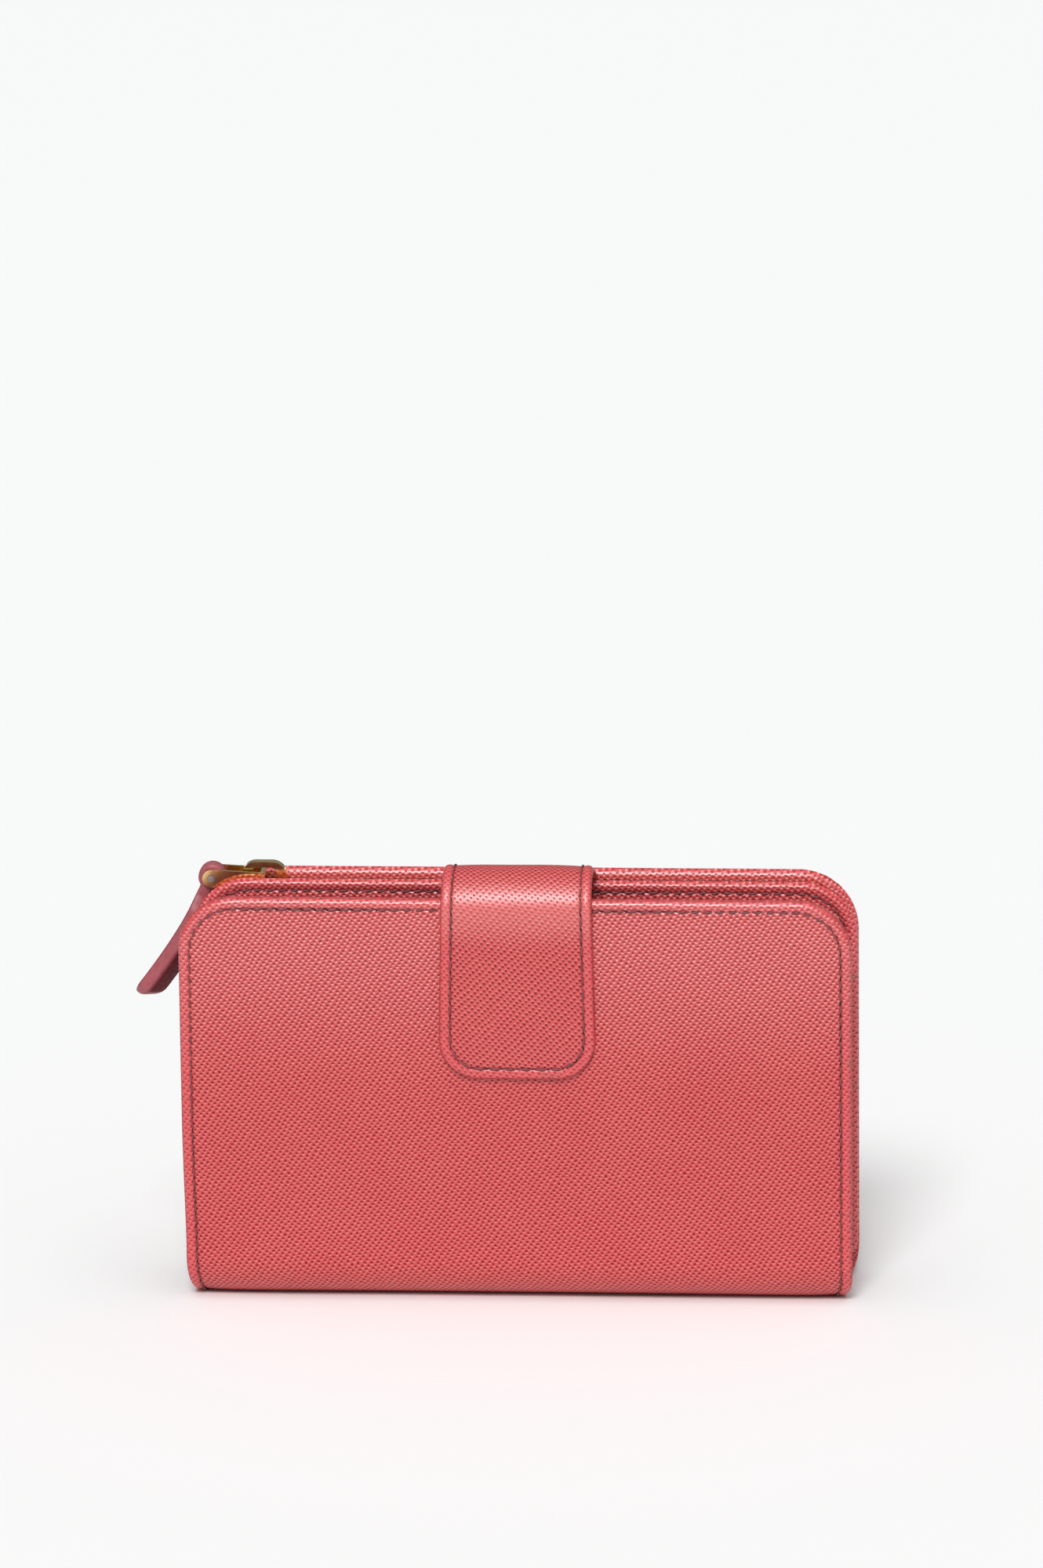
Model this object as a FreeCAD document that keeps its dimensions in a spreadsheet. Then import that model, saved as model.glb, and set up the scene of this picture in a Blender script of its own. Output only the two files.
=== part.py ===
import FreeCAD, Part
import Sketcher
import math
import os

os.makedirs("parts", exist_ok=True)
doc = FreeCAD.newDocument("tab_wallet")

# ---------------------------------------------------------------- driving dimensions (mm)
# +X right, -Y front, +Z up; the origin is the middle of the flat underside of the spine.
sheet = doc.addObject("Spreadsheet::Sheet", "sizes")
DIMENSIONS = {
    # the whole wallet
    "cover_width": 145.0,
    "panel_height": 90.0,
    "fold_radius": 9.0,
    "half_depth": 14.0,
    "corner_radius": 12.0,
    "skin": 1.5,
    "edge_round": 0.6,
    # the zip block sits a little to the right of the cover and is a little narrower
    "block_width": 144.0,
    "block_shift": 0.8,
    "spine_width": 143.0,
    "spine_shift": 0.4,
    # inner layers
    "board": 1.2,
    "lining": 0.6,
    "tier": 0.9,
    "tier_step": 8.0,
    "tier_width": 130.0,
    "slip_width": 134.0,
    "tier_bottom": 12.0,
    "inner_bottom": 10.0,
    "tier_corner": 3.0,
    # zip block, measured from the wallet's middle plane
    "middle_front": 2.0,
    "middle_skin": 1.2,
    "middle_board": 0.8,
    "pocket_back": 10.0,
    "back_board": 1.8,
    # zip
    "zip_depth": 7.6,
    "chain_length": 124.0,
    "tooth_pitch": 2.2,
    "tape_height": 86.4,
    "tape_thick": 0.4,
    "slider_length": 12.0,
    "slider_start": -55.6,
    "pin_x": -66.9,
    "pin_height": 89.3,
    "pin_radius": 0.8,
    "bar_height": 89.9,
    "pull_lean": 32.0,
    "pull_width": 8.5,
    "pull_length": 31.0,
    "pull_thick": 2.9,
    # closing tab
    "tab_width": 33.0,
    "tab_shift": 0.6,
    "tab_thick": 1.8,
    "tab_outer": 1.0,
    "tab_low": 50.5,
    "tab_corner": 8.5,
    "tab_gap": 0.3,
    "magnet_radius": 6.5,
    "magnet_height": 62.0,
    # stitching
    "seam_inset": 2.6,
    "seam_width": 0.7,
    "seam_proud": 0.15,
}
for row, (alias, value) in enumerate(DIMENSIONS.items(), start=1):
    sheet.set(f"A{row}", alias)
    sheet.set(f"B{row}", str(value))
    sheet.setAlias(f"B{row}", alias)
doc.recompute()


def size(alias):
    """A driving dimension, read back from the sheet."""
    return float(sheet.get(alias))


# ---------------------------------------------------------------- helpers
SUBPARTS = []
SPLIT_GAP = 0.15  # half the slit between two bodies that meet in a leather bend


def finished(obj, label):
    obj.Label = label
    SUBPARTS.append(obj)
    return obj


def origin_plane(body, role):
    return [f for f in body.Origin.OriginFeatures if f.Role == role][0]


def new_sketch(body, role):
    sketch = body.newObject("Sketcher::SketchObject", body.Name + "_sketch")
    sketch.AttachmentSupport = [(origin_plane(body, role), "")]
    sketch.MapMode = "FlatFace"
    return sketch


def new_pad(body, sketch, length, reverse=False, middle=False):
    pad = body.newObject("PartDesign::Pad", body.Name + "_pad")
    pad.Profile = sketch
    pad.SideType = "Symmetric" if middle else "One side"
    pad.Reversed = reverse
    pad.setExpression("Length", length)
    sketch.Visibility = False
    return pad


def place(obj, along_x="0", along_y="0", along_z="0", axis=(0, 0, 1), angle=0.0):
    """Placement with its three offsets bound to the sheet."""
    obj.Placement = FreeCAD.Placement(
        FreeCAD.Vector(), FreeCAD.Rotation(FreeCAD.Vector(*axis), angle)
    )
    obj.setExpression("Placement.Base.x", along_x)
    obj.setExpression("Placement.Base.y", along_y)
    obj.setExpression("Placement.Base.z", along_z)
    return obj


def point(across, up):
    return FreeCAD.Vector(across, up, 0)


def line(start, end):
    return Part.LineSegment(start, end)


def arc(centre, radius, start, end):
    """An arc from start to end, in degrees anticlockwise."""
    circle = Part.Circle(centre, FreeCAD.Vector(0, 0, 1), radius)
    return Part.ArcOfCircle(circle, math.radians(start), math.radians(end))


def on_circle(centre, radius, angle):
    return point(
        centre.x + radius * math.cos(math.radians(angle)),
        centre.y + radius * math.sin(math.radians(angle)),
    )


def value(expression):
    """The number that an expression on the sheet gives."""
    return float(sheet.evalExpression(expression))


def corner_sketch(body, width, height, radius):
    """A panel outline standing on the sketch's X axis, with its two upper corners rounded."""
    sketch = new_sketch(body, "XZ_Plane")
    half, top, bend = value(width) / 2, value(height), value(radius)
    right, left = point(half - bend, top - bend), point(bend - half, top - bend)
    sketch.addGeometry(
        [
            line(point(-half, 0), point(half, 0)),
            line(point(half, 0), point(half, top - bend)),
            arc(right, bend, 0, 90),
            line(point(half - bend, top), point(bend - half, top)),
            arc(left, bend, 90, 180),
            line(point(-half, top - bend), point(-half, 0)),
        ]
    )
    make = Sketcher.Constraint
    sketch.addConstraint(
        [
            make("Coincident", 0, 2, 1, 1),
            make("Tangent", 1, 2, 2, 1),
            make("Tangent", 2, 2, 3, 1),
            make("Tangent", 3, 2, 4, 1),
            make("Tangent", 4, 2, 5, 1),
            make("Coincident", 5, 2, 0, 1),
            make("PointOnObject", 0, 1, -1),
            make("Vertical", 1),
            make("Vertical", 5),
            make("Horizontal", 3),
            make("Equal", 2, 4),
            make("Symmetric", 0, 1, 0, 2, -2),
        ]
    )
    for name, constraint, expression in (
        ("wide", make("DistanceX", 0, 1, 0, 2, 2 * half), width),
        ("tall", make("DistanceY", 0, 1, 3, 1, top), height),
        ("turn", make("Radius", 2, bend), radius),
    ):
        sketch.renameConstraint(sketch.addConstraint(constraint), name)
        sketch.setExpression("Constraints." + name, expression)
    return sketch


def panel(name, width, height, radius, thick):
    """A flat panel: its local origin is the middle of its lower front edge."""
    body = doc.addObject("PartDesign::Body", name)
    new_pad(body, corner_sketch(body, width, height, radius), thick, reverse=True)
    return body


def prism(name, role, outline, length):
    """A closed outline padded both ways from one of the body's own origin planes."""
    body = doc.addObject("PartDesign::Body", name)
    sketch = new_sketch(body, role)
    sketch.addGeometry(outline)
    new_pad(body, sketch, length, middle=True)
    return body


def block(name, length, width, height):
    box = doc.addObject("Part::Box", name)
    box.setExpression("Length", length)
    box.setExpression("Width", width)
    box.setExpression("Height", height)
    return box


def boolean(kind, name, base, tool):
    result = doc.addObject(kind, name)
    result.Base = base
    result.Tool = tool
    return result


def disc(name, radius, thick):
    """A round plate whose axis lies along Y, its front face at the local origin."""
    cylinder = doc.addObject("Part::Cylinder", name)
    cylinder.setExpression("Radius", radius)
    cylinder.setExpression("Height", thick)
    return cylinder


# ---------------------------------------------------------------- outer leather
def bend_outline(radius, thick, turns):
    """Half of a leather bend, seen from the side: 45 degrees down from the panel's lower edge."""
    centre = point(radius, 0)
    slit = math.degrees(SPLIT_GAP / radius)
    start, end = 180.0, 180.0 + turns - slit
    inner = radius - thick
    return [
        arc(centre, radius, start, end),
        line(on_circle(centre, radius, end), on_circle(centre, inner, end)),
        arc(centre, inner, start, end),
        line(on_circle(centre, inner, start), on_circle(centre, radius, start)),
    ]


def leaf_skin(name, width, shift, front, turned):
    """The outer leather of one leaf: a rounded panel that runs into half of the bottom bend."""
    body = panel(name, width, "sizes.panel_height - sizes.fold_radius", "sizes.corner_radius", "sizes.skin")
    pad = body.Tip
    doc.recompute()
    rim = [
        f"Edge{n}"
        for n, edge in enumerate(pad.Shape.Edges, start=1)
        if all(abs(v.Y) < 1e-6 for v in edge.Vertexes) and edge.CenterOfMass.z > 1e-3
    ]
    fillet = body.newObject("PartDesign::Fillet", name + "_rim")
    fillet.Base = (pad, rim)
    fillet.setExpression("Radius", "sizes.edge_round")
    sketch = new_sketch(body, "YZ_Plane")
    sketch.addGeometry(bend_outline(size("fold_radius"), size("skin"), 45.0))
    new_pad(body, sketch, "sizes.spine_width - 2", middle=True)
    angle = 180.0 if turned else 0.0
    return place(finished(body, name), shift, front, "sizes.fold_radius", angle=angle)


leaf_skin("cover_leather", "sizes.cover_width", "0", "-sizes.half_depth", False)
leaf_skin("back_leather", "sizes.block_width", "sizes.block_shift", "sizes.half_depth", True)


def spine_outline():
    """The strip that the wallet stands on, turning up 45 degrees at each side."""
    radius, thick = size("fold_radius"), size("skin")
    flat = size("half_depth") - radius
    inner = radius - thick
    slit = math.degrees(SPLIT_GAP / radius)
    front, back = point(-flat, radius), point(flat, radius)
    low, high = 225.0 + slit, 315.0 - slit
    return [
        arc(front, radius, low, 270),
        line(point(-flat, 0), point(flat, 0)),
        arc(back, radius, 270, high),
        line(on_circle(back, radius, high), on_circle(back, inner, high)),
        arc(back, inner, 270, high),
        line(point(flat, thick), point(-flat, thick)),
        arc(front, inner, low, 270),
        line(on_circle(front, inner, low), on_circle(front, radius, low)),
    ]


place(
    finished(prism("spine_leather", "YZ_Plane", spine_outline(), "sizes.spine_width"), "spine_leather"),
    "sizes.spine_shift",
)
SPINE_FLAT = "2 * (sizes.half_depth - sizes.fold_radius)"
place(
    finished(block("spine_board", "sizes.spine_width - 4", SPINE_FLAT, "sizes.board"), "spine_board"),
    "sizes.spine_shift - (sizes.spine_width - 4) / 2",
    "sizes.fold_radius - sizes.half_depth",
    "sizes.skin",
)
place(
    finished(
        block("spine_lining", "sizes.spine_width - 4", SPINE_FLAT + " + 2", "sizes.lining"), "spine_lining"
    ),
    "sizes.spine_shift - (sizes.spine_width - 4) / 2",
    "sizes.fold_radius - sizes.half_depth - 1",
    "sizes.skin + sizes.board",
)


# ---------------------------------------------------------------- inner layers of the cover
def layer(name, width, top, bottom, front, thick, shift="0", radius="sizes.tier_corner"):
    """One flat inner layer, from its lower to its upper height."""
    body = panel(name, width, f"({top}) - ({bottom})", radius, thick)
    return place(body, shift, front, bottom)


COVER_BACK = "-sizes.half_depth + sizes.skin"
KEEPER_HOLE = "sizes.magnet_radius + 0.1"
cover_board_blank = layer(
    "cover_board_blank",
    "sizes.cover_width - 3",
    "sizes.panel_height - 1.4",
    "sizes.inner_bottom",
    COVER_BACK,
    "sizes.board",
    radius="sizes.corner_radius - 1.5",
)
keeper_hole = disc("keeper_hole", KEEPER_HOLE, "10")
place(keeper_hole, "sizes.tab_shift", "0 - sizes.half_depth + 5", "sizes.magnet_height", (1, 0, 0), 90)
finished(boolean("Part::Cut", "cover_board", cover_board_blank, keeper_hole), "cover_board")
place(
    finished(disc("cover_keeper", "sizes.magnet_radius", "sizes.board"), "cover_keeper"),
    "sizes.tab_shift",
    COVER_BACK + " + sizes.board",
    "sizes.magnet_height",
    (1, 0, 0),
    90,
)
finished(
    layer(
        "cover_lining",
        "sizes.cover_width - 3",
        "sizes.panel_height - 1.2",
        "sizes.inner_bottom",
        COVER_BACK + " + sizes.board",
        "sizes.lining",
        radius="sizes.corner_radius - 1.5",
    ),
    "cover_lining",
)
COVER_INNER = COVER_BACK + " + sizes.board + sizes.lining"
finished(
    layer(
        "cover_slip_pocket",
        "sizes.slip_width",
        "sizes.panel_height - 4",
        "sizes.tier_bottom",
        COVER_INNER,
        "sizes.tier",
    ),
    "cover_slip_pocket",
)
TIERS = 4
for number in range(1, TIERS + 1):
    name = f"cover_card_pocket_{number}"
    finished(
        layer(
            name,
            "sizes.tier_width",
            f"sizes.panel_height - {number} * sizes.tier_step",
            "sizes.tier_bottom",
            f"{COVER_INNER} + {number} * sizes.tier",
            "sizes.tier",
        ),
        name,
    )

# ---------------------------------------------------------------- zip block: layers front to back
SHIFT = "sizes.block_shift"
BLOCK_INNER = "sizes.middle_front"
finished(
    layer(
        "block_slip_pocket",
        "sizes.slip_width",
        "sizes.panel_height - 10",
        "sizes.tier_bottom",
        BLOCK_INNER + " - sizes.tier",
        "sizes.tier",
        SHIFT,
    ),
    "block_slip_pocket",
)
for number in range(1, TIERS + 1):
    name = f"block_card_pocket_{number}"
    finished(
        layer(
            name,
            "sizes.tier_width",
            f"sizes.panel_height - 8 - {number} * sizes.tier_step",
            "sizes.tier_bottom",
            f"{BLOCK_INNER} - {number + 1} * sizes.tier",
            "sizes.tier",
            SHIFT,
        ),
        name,
    )
middle = layer(
    "middle_leather",
    "sizes.block_width",
    "sizes.panel_height",
    "sizes.inner_bottom",
    "sizes.middle_front",
    "sizes.middle_skin",
    SHIFT,
    "sizes.corner_radius",
)
finished(middle, "middle_leather")
MIDDLE_BACK = "sizes.middle_front + sizes.middle_skin"
finished(
    layer(
        "middle_board",
        "sizes.block_width - 3",
        "sizes.panel_height - 1.4",
        "sizes.inner_bottom",
        MIDDLE_BACK,
        "sizes.middle_board",
        SHIFT,
        "sizes.corner_radius - 1.5",
    ),
    "middle_board",
)
LINING_TOP = "sizes.tape_height + sizes.tape_thick"
LINING_WIDTH = "sizes.block_width - 6"
POCKET_FRONT = MIDDLE_BACK + " + sizes.middle_board"
for name, front in (
    ("pocket_lining_front", POCKET_FRONT),
    ("pocket_lining_back", "sizes.pocket_back"),
):
    finished(
        layer(
            name,
            LINING_WIDTH,
            LINING_TOP,
            "sizes.inner_bottom",
            front,
            "sizes.lining",
            SHIFT,
            "sizes.corner_radius - 3",
        ),
        name,
    )
POCKET_DEPTH = f"sizes.pocket_back - ({POCKET_FRONT} + sizes.lining)"
GUSSET_TOP = "sizes.panel_height - sizes.corner_radius - 2"
for name, side in (("gusset_left", "-1"), ("gusset_right", "1")):
    gusset = block(name, "sizes.lining", POCKET_DEPTH, f"{GUSSET_TOP} - sizes.inner_bottom")
    place(
        finished(gusset, name),
        f"{SHIFT} + {side} * ({LINING_WIDTH} - 2) / 2 - sizes.lining / 2",
        f"{POCKET_FRONT} + sizes.lining",
        "sizes.inner_bottom",
    )
gusset = block("gusset_bottom", f"{LINING_WIDTH} - 4", POCKET_DEPTH, "sizes.lining")
place(
    finished(gusset, "gusset_bottom"),
    f"{SHIFT} - ({LINING_WIDTH} - 4) / 2",
    f"{POCKET_FRONT} + sizes.lining",
    "sizes.inner_bottom",
)

# The back board is cut away where the closing tab is sewn in.
TAB_ROOT_DEPTH = 13.0
BACK_BOARD_FRONT = "sizes.half_depth - sizes.skin - sizes.back_board"
back_blank = layer(
    "back_board_blank",
    "sizes.block_width - 3",
    "sizes.panel_height - 1.4",
    "sizes.inner_bottom",
    BACK_BOARD_FRONT,
    "sizes.back_board",
    SHIFT,
    "sizes.corner_radius - 1.5",
)
tab_slot = block("tab_slot", "sizes.tab_width + 0.6", "10", "30")
place(
    tab_slot,
    "sizes.tab_shift - sizes.tab_width / 2 - 0.3",
    "sizes.half_depth - 8",
    f"sizes.panel_height - {TAB_ROOT_DEPTH + 2.5}",
)
finished(boolean("Part::Cut", "back_board", back_blank, tab_slot), "back_board")


# ---------------------------------------------------------------- stitching lines
def seam(name, width, tall, foot, front, shift, radius, axis=(0, 0, 1), angle=0.0):
    """A raised thread line along the upper edge and both sides of a panel."""
    inner = "(sizes.seam_inset + sizes.seam_width)"
    outer = panel(
        name + "_outer",
        f"{width} - 2 * sizes.seam_inset",
        f"{tall} - sizes.seam_inset",
        f"{radius} - sizes.seam_inset",
        "sizes.seam_proud",
    )
    hollow = panel(
        name + "_inner",
        f"{width} - 2 * ({inner})",
        f"{tall} - {inner} + 5",
        f"{radius} - ({inner})",
        "3",
    )
    place(hollow, "0", "-1", "-5")
    cut = boolean("Part::Cut", name, outer, hollow)
    place(finished(cut, name), shift, front, foot, axis, angle)


seam(
    "cover_seam",
    "sizes.cover_width",
    "sizes.panel_height - sizes.fold_radius",
    "sizes.fold_radius",
    "-sizes.half_depth - sizes.seam_proud",
    "0",
    "sizes.corner_radius",
)
seam(
    "middle_seam",
    "sizes.block_width",
    "sizes.panel_height - sizes.inner_bottom",
    "sizes.inner_bottom",
    "sizes.middle_front - sizes.seam_proud",
    SHIFT,
    "sizes.corner_radius",
)
seam(
    "back_seam",
    "sizes.block_width",
    "sizes.panel_height - sizes.fold_radius",
    "sizes.fold_radius",
    "sizes.half_depth + sizes.seam_proud",
    SHIFT,
    "sizes.corner_radius",
    angle=180.0,
)

# ---------------------------------------------------------------- zip fastener
TOOTH_LENGTH = 1.15
TOOTH_WIDTH = 1.2
TOOTH_HEIGHT = 1.1
CHAIN_EDGE = 2.1  # from the zip's middle to the outside of a tooth row
BEAD_WIDTH = 0.5
BEAD_HEIGHT = 0.8


def rectangle(x0, y0, x1, y1):
    corners = [point(x0, y0), point(x1, y0), point(x1, y1), point(x0, y1)]
    return [line(corners[k], corners[(k + 1) % 4]) for k in range(4)]


def tooth_row(name, turned):
    """A bead sewn to the tape's edge, with one tooth repeated along it."""
    body = doc.addObject("PartDesign::Body", name)
    length = size("chain_length")
    bead = new_sketch(body, "XY_Plane")
    bead.addGeometry(rectangle(-length / 2, -CHAIN_EDGE, length / 2, -CHAIN_EDGE + BEAD_WIDTH))
    new_pad(body, bead, str(BEAD_HEIGHT), middle=True)
    start = -length / 2 + 0.2
    tip = -CHAIN_EDGE + BEAD_WIDTH - 0.1
    tooth_sketch = new_sketch(body, "XY_Plane")
    tooth_sketch.addGeometry(rectangle(start, tip, start + TOOTH_WIDTH, tip + TOOTH_LENGTH + 0.1))
    tooth = new_pad(body, tooth_sketch, str(TOOTH_HEIGHT), middle=True)
    doc.recompute()
    pattern = body.newObject("PartDesign::LinearPattern", name + "_pattern")
    pattern.Originals = [tooth]
    pattern.Direction = (bead, ["H_Axis"])
    pitch = size("tooth_pitch")
    count = int((length - TOOTH_WIDTH) / pitch)
    pattern.Length = (count - 1) * pitch
    pattern.Occurrences = count
    body.Tip = pattern
    middle_height = "sizes.tape_height + sizes.tape_thick / 2"
    angle = 180.0 if turned else 0.0
    place(finished(body, name), "0", "sizes.zip_depth", middle_height, angle=angle)


tooth_row("zip_teeth_front", False)
tooth_row("zip_teeth_back", True)

TAPE_FRONT = f"{POCKET_FRONT} + sizes.lining"
TAPE_LENGTH = "sizes.chain_length + 6"
TAPE_BACK = f"sizes.zip_depth + {CHAIN_EDGE}"
for name, front, width in (
    ("zip_tape_front", TAPE_FRONT, f"sizes.zip_depth - {CHAIN_EDGE} - ({TAPE_FRONT})"),
    ("zip_tape_back", TAPE_BACK, f"sizes.pocket_back - ({TAPE_BACK})"),
):
    tape = block(name, TAPE_LENGTH, width, "sizes.tape_thick")
    place(finished(tape, name), f"-({TAPE_LENGTH}) / 2", front, "sizes.tape_height")
STOP = 1.0
for name, side in (("zip_stop_left", "-1"), ("zip_stop_right", "1")):
    stop = block(name, str(STOP), str(2 * CHAIN_EDGE), "1.4")
    place(
        finished(stop, name),
        f"{side} * (sizes.chain_length / 2 + 1.5) - {STOP / 2}",
        f"sizes.zip_depth - {CHAIN_EDGE}",
        "sizes.tape_height - 0.5",
    )

# Slider: an upper and a lower plate joined by a thin divider that runs between the tooth rows.
PLATE_WIDTH = 4.4
PLATE = 0.7
PLATE_TOP = 88.1
PLATE_LOW = 84.9
WEB = 0.4
top_plate = block("slider_top", "sizes.slider_length", str(PLATE_WIDTH), str(PLATE))
low_plate = block("slider_low", "sizes.slider_length", str(PLATE_WIDTH), str(PLATE))
divider = block("slider_divider", "2", str(WEB), str(PLATE_TOP - PLATE_LOW - 0.2))
SLIDER_LEFT = "sizes.slider_start - sizes.slider_length / 2"
place(top_plate, SLIDER_LEFT, f"sizes.zip_depth - {PLATE_WIDTH / 2}", str(PLATE_TOP - PLATE))
place(low_plate, SLIDER_LEFT, f"sizes.zip_depth - {PLATE_WIDTH / 2}", str(PLATE_LOW))
place(divider, SLIDER_LEFT, f"sizes.zip_depth - {WEB / 2}", str(PLATE_LOW + 0.1))
plates = boolean("Part::Fuse", "slider_plates", top_plate, low_plate)
finished(boolean("Part::Fuse", "slider_body", plates, divider), "slider_body")


def arch_outline():
    """The slider's arched bridge from the front: outer and inner rounded corners, open below."""
    half, rise, bend = 5.0, 4.6, 3.3
    leg, crown, inner_bend = 2.0, 1.2, 1.8
    inside, under = half - leg, rise - crown
    right, left = point(half - bend, rise - bend), point(bend - half, rise - bend)
    inner_right = point(inside - inner_bend, under - inner_bend)
    inner_left = point(inner_bend - inside, under - inner_bend)
    return [
        line(point(half, 0), point(half, rise - bend)),
        arc(right, bend, 0, 90),
        line(point(half - bend, rise), point(bend - half, rise)),
        arc(left, bend, 90, 180),
        line(point(-half, rise - bend), point(-half, 0)),
        line(point(-half, 0), point(-inside, 0)),
        line(point(-inside, 0), point(-inside, under - inner_bend)),
        arc(inner_left, inner_bend, 90, 180),
        line(point(inner_bend - inside, under), point(inside - inner_bend, under)),
        arc(inner_right, inner_bend, 0, 90),
        line(point(inside, under - inner_bend), point(inside, 0)),
        line(point(inside, 0), point(half, 0)),
    ]


BRIDGE_WIDTH = 2.4
place(
    finished(prism("slider_bridge", "XZ_Plane", arch_outline(), str(BRIDGE_WIDTH)), "slider_bridge"),
    "sizes.slider_start",
    "sizes.zip_depth",
    str(PLATE_TOP),
)


# Pull link: two tapered arms, an eye round the pin at one end and a bar under the arch at the other.
EYE = 1.95
BAR = 0.75
ARM = 0.7
ARM_INSIDE = 2.2


def arm_outline(eye_hole):
    """A tapered arm from the eye, at the local origin, to the bar; eye_hole adds the pin's hole."""
    reach = size("slider_start") - 0.4 - size("pin_x")
    rise = size("bar_height") - size("pin_height")
    length = math.hypot(reach, rise)
    slope = math.degrees(math.atan2(rise, reach))
    taper = math.degrees(math.acos((EYE - BAR) / length))
    eye, bar = point(0, 0), point(reach, rise)
    upper, lower = slope + taper, slope - taper
    outline = [
        arc(eye, EYE, upper, lower + 360),
        line(on_circle(eye, EYE, lower), on_circle(bar, BAR, lower)),
        arc(bar, BAR, lower, upper),
        line(on_circle(bar, BAR, upper), on_circle(eye, EYE, upper)),
    ]
    if eye_hole:
        outline.append(Part.Circle(eye, FreeCAD.Vector(0, 0, 1), size("pin_radius") + 0.05))
    return outline


arms = []
for name, side in (("front", -1), ("back", 1)):
    arm = prism(f"link_arm_{name}", "XZ_Plane", arm_outline(True), str(ARM))
    offset = side * (ARM_INSIDE + ARM / 2)
    place(arm, "sizes.pin_x", f"sizes.zip_depth + ({offset})", "sizes.pin_height")
    arms.append(arm)
cross_bar = disc("link_bar", str(BAR), str(2 * (ARM_INSIDE + ARM)))
place(
    cross_bar,
    "sizes.slider_start - 0.4",
    f"sizes.zip_depth + {ARM_INSIDE + ARM}",
    "sizes.bar_height",
    (1, 0, 0),
    90,
)
pair = boolean("Part::Fuse", "link_arms", arms[0], arms[1])
finished(boolean("Part::Fuse", "pull_link", pair, cross_bar), "pull_link")
PIN_REACH = ARM_INSIDE + ARM + 0.15
place(
    finished(disc("link_pin", "sizes.pin_radius", str(2 * PIN_REACH)), "link_pin"),
    "sizes.pin_x",
    f"sizes.zip_depth + {PIN_REACH}",
    "sizes.pin_height",
    (1, 0, 0),
    90,
)


# Leather pull: a strip folded round the pin, narrow at the loop and wider below.
def pull_strap():
    loop, hole, neck = 3.0, 1.0, 4.0
    body = doc.addObject("PartDesign::Body", "pull_strap")
    ring = new_sketch(body, "XZ_Plane")
    ring.addGeometry(Part.Circle(point(0, 0), FreeCAD.Vector(0, 0, 1), loop))
    ring.addGeometry(Part.Circle(point(0, 0), FreeCAD.Vector(0, 0, 1), hole))
    new_pad(body, ring, str(neck), middle=True)
    half = size("pull_thick") / 2
    shank = new_sketch(body, "XZ_Plane")
    shank.addGeometry(rectangle(-half, -7.5, half, -1.5))
    new_pad(body, shank, str(neck), middle=True)
    wide, tip, bend = size("pull_width") / 2, size("pull_length"), 3.4
    shoulder = 6.0
    tail = new_sketch(body, "YZ_Plane")
    left, right = point(bend - wide, bend - tip), point(wide - bend, bend - tip)
    tail.addGeometry(
        [
            line(point(-wide, -shoulder), point(-wide, bend - tip)),
            arc(left, bend, 180, 270),
            line(point(bend - wide, -tip), point(wide - bend, -tip)),
            arc(right, bend, 270, 360),
            line(point(wide, bend - tip), point(wide, -shoulder)),
            line(point(wide, -shoulder), point(-wide, -shoulder)),
        ]
    )
    new_pad(body, tail, "sizes.pull_thick", middle=True)
    return place(
        finished(body, "pull_strap"),
        "sizes.pin_x",
        "sizes.zip_depth",
        "sizes.pin_height",
        (0, 1, 0),
        size("pull_lean"),
    )


pull_strap()

# ---------------------------------------------------------------- closing tab
# Side profile of the tab's outer face: up the front, round the front bend, over a low crest and
# down into the seam of the back panel.
FRONT_RADIUS, CREST_RADIUS, ROOT_RADIUS = 3.2, 11.0, 2.2
FRONT_SLOPE, BACK_SLOPE = 27.0, 20.0
CREST_RUN = 3.6
ROOT_FACE = 12.4
FRONT_FACE = -size("half_depth") - size("tab_gap") - size("tab_thick")
front_centre = point(FRONT_FACE + FRONT_RADIUS, size("panel_height") - 0.5)
front_end = on_circle(front_centre, FRONT_RADIUS, 90 + FRONT_SLOPE)
crest_start = point(
    front_end.x + CREST_RUN * math.cos(math.radians(FRONT_SLOPE)),
    front_end.y + CREST_RUN * math.sin(math.radians(FRONT_SLOPE)),
)
crest_centre = on_circle(crest_start, CREST_RADIUS, FRONT_SLOPE - 90)
crest_end = on_circle(crest_centre, CREST_RADIUS, 90 - BACK_SLOPE)
root_y = ROOT_FACE - ROOT_RADIUS
back_line = crest_end.y - (root_y - crest_end.x) * math.tan(math.radians(BACK_SLOPE))
root_centre = point(root_y, back_line - ROOT_RADIUS / math.cos(math.radians(BACK_SLOPE)))
FRONT_SPLIT = 180.0 - (90.0 - FRONT_SLOPE) / 2
ROOT_SPLIT = (90.0 - BACK_SLOPE) / 2
SLIT = 2.5  # degrees left free each side of a split


def tab_front_outline(outer, inner):
    """The hanging part of the tab between two depths below its outer face."""
    low, split = size("tab_low"), FRONT_SPLIT + SLIT
    out_r, in_r = FRONT_RADIUS - outer, FRONT_RADIUS - inner
    rim = front_centre
    return [
        line(point(rim.x - out_r, low), point(rim.x - out_r, rim.y)),
        arc(rim, out_r, split, 180),
        line(on_circle(rim, out_r, split), on_circle(rim, in_r, split)),
        arc(rim, in_r, split, 180),
        line(point(rim.x - in_r, rim.y), point(rim.x - in_r, low)),
        line(point(rim.x - in_r, low), point(rim.x - out_r, low)),
    ]


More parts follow.
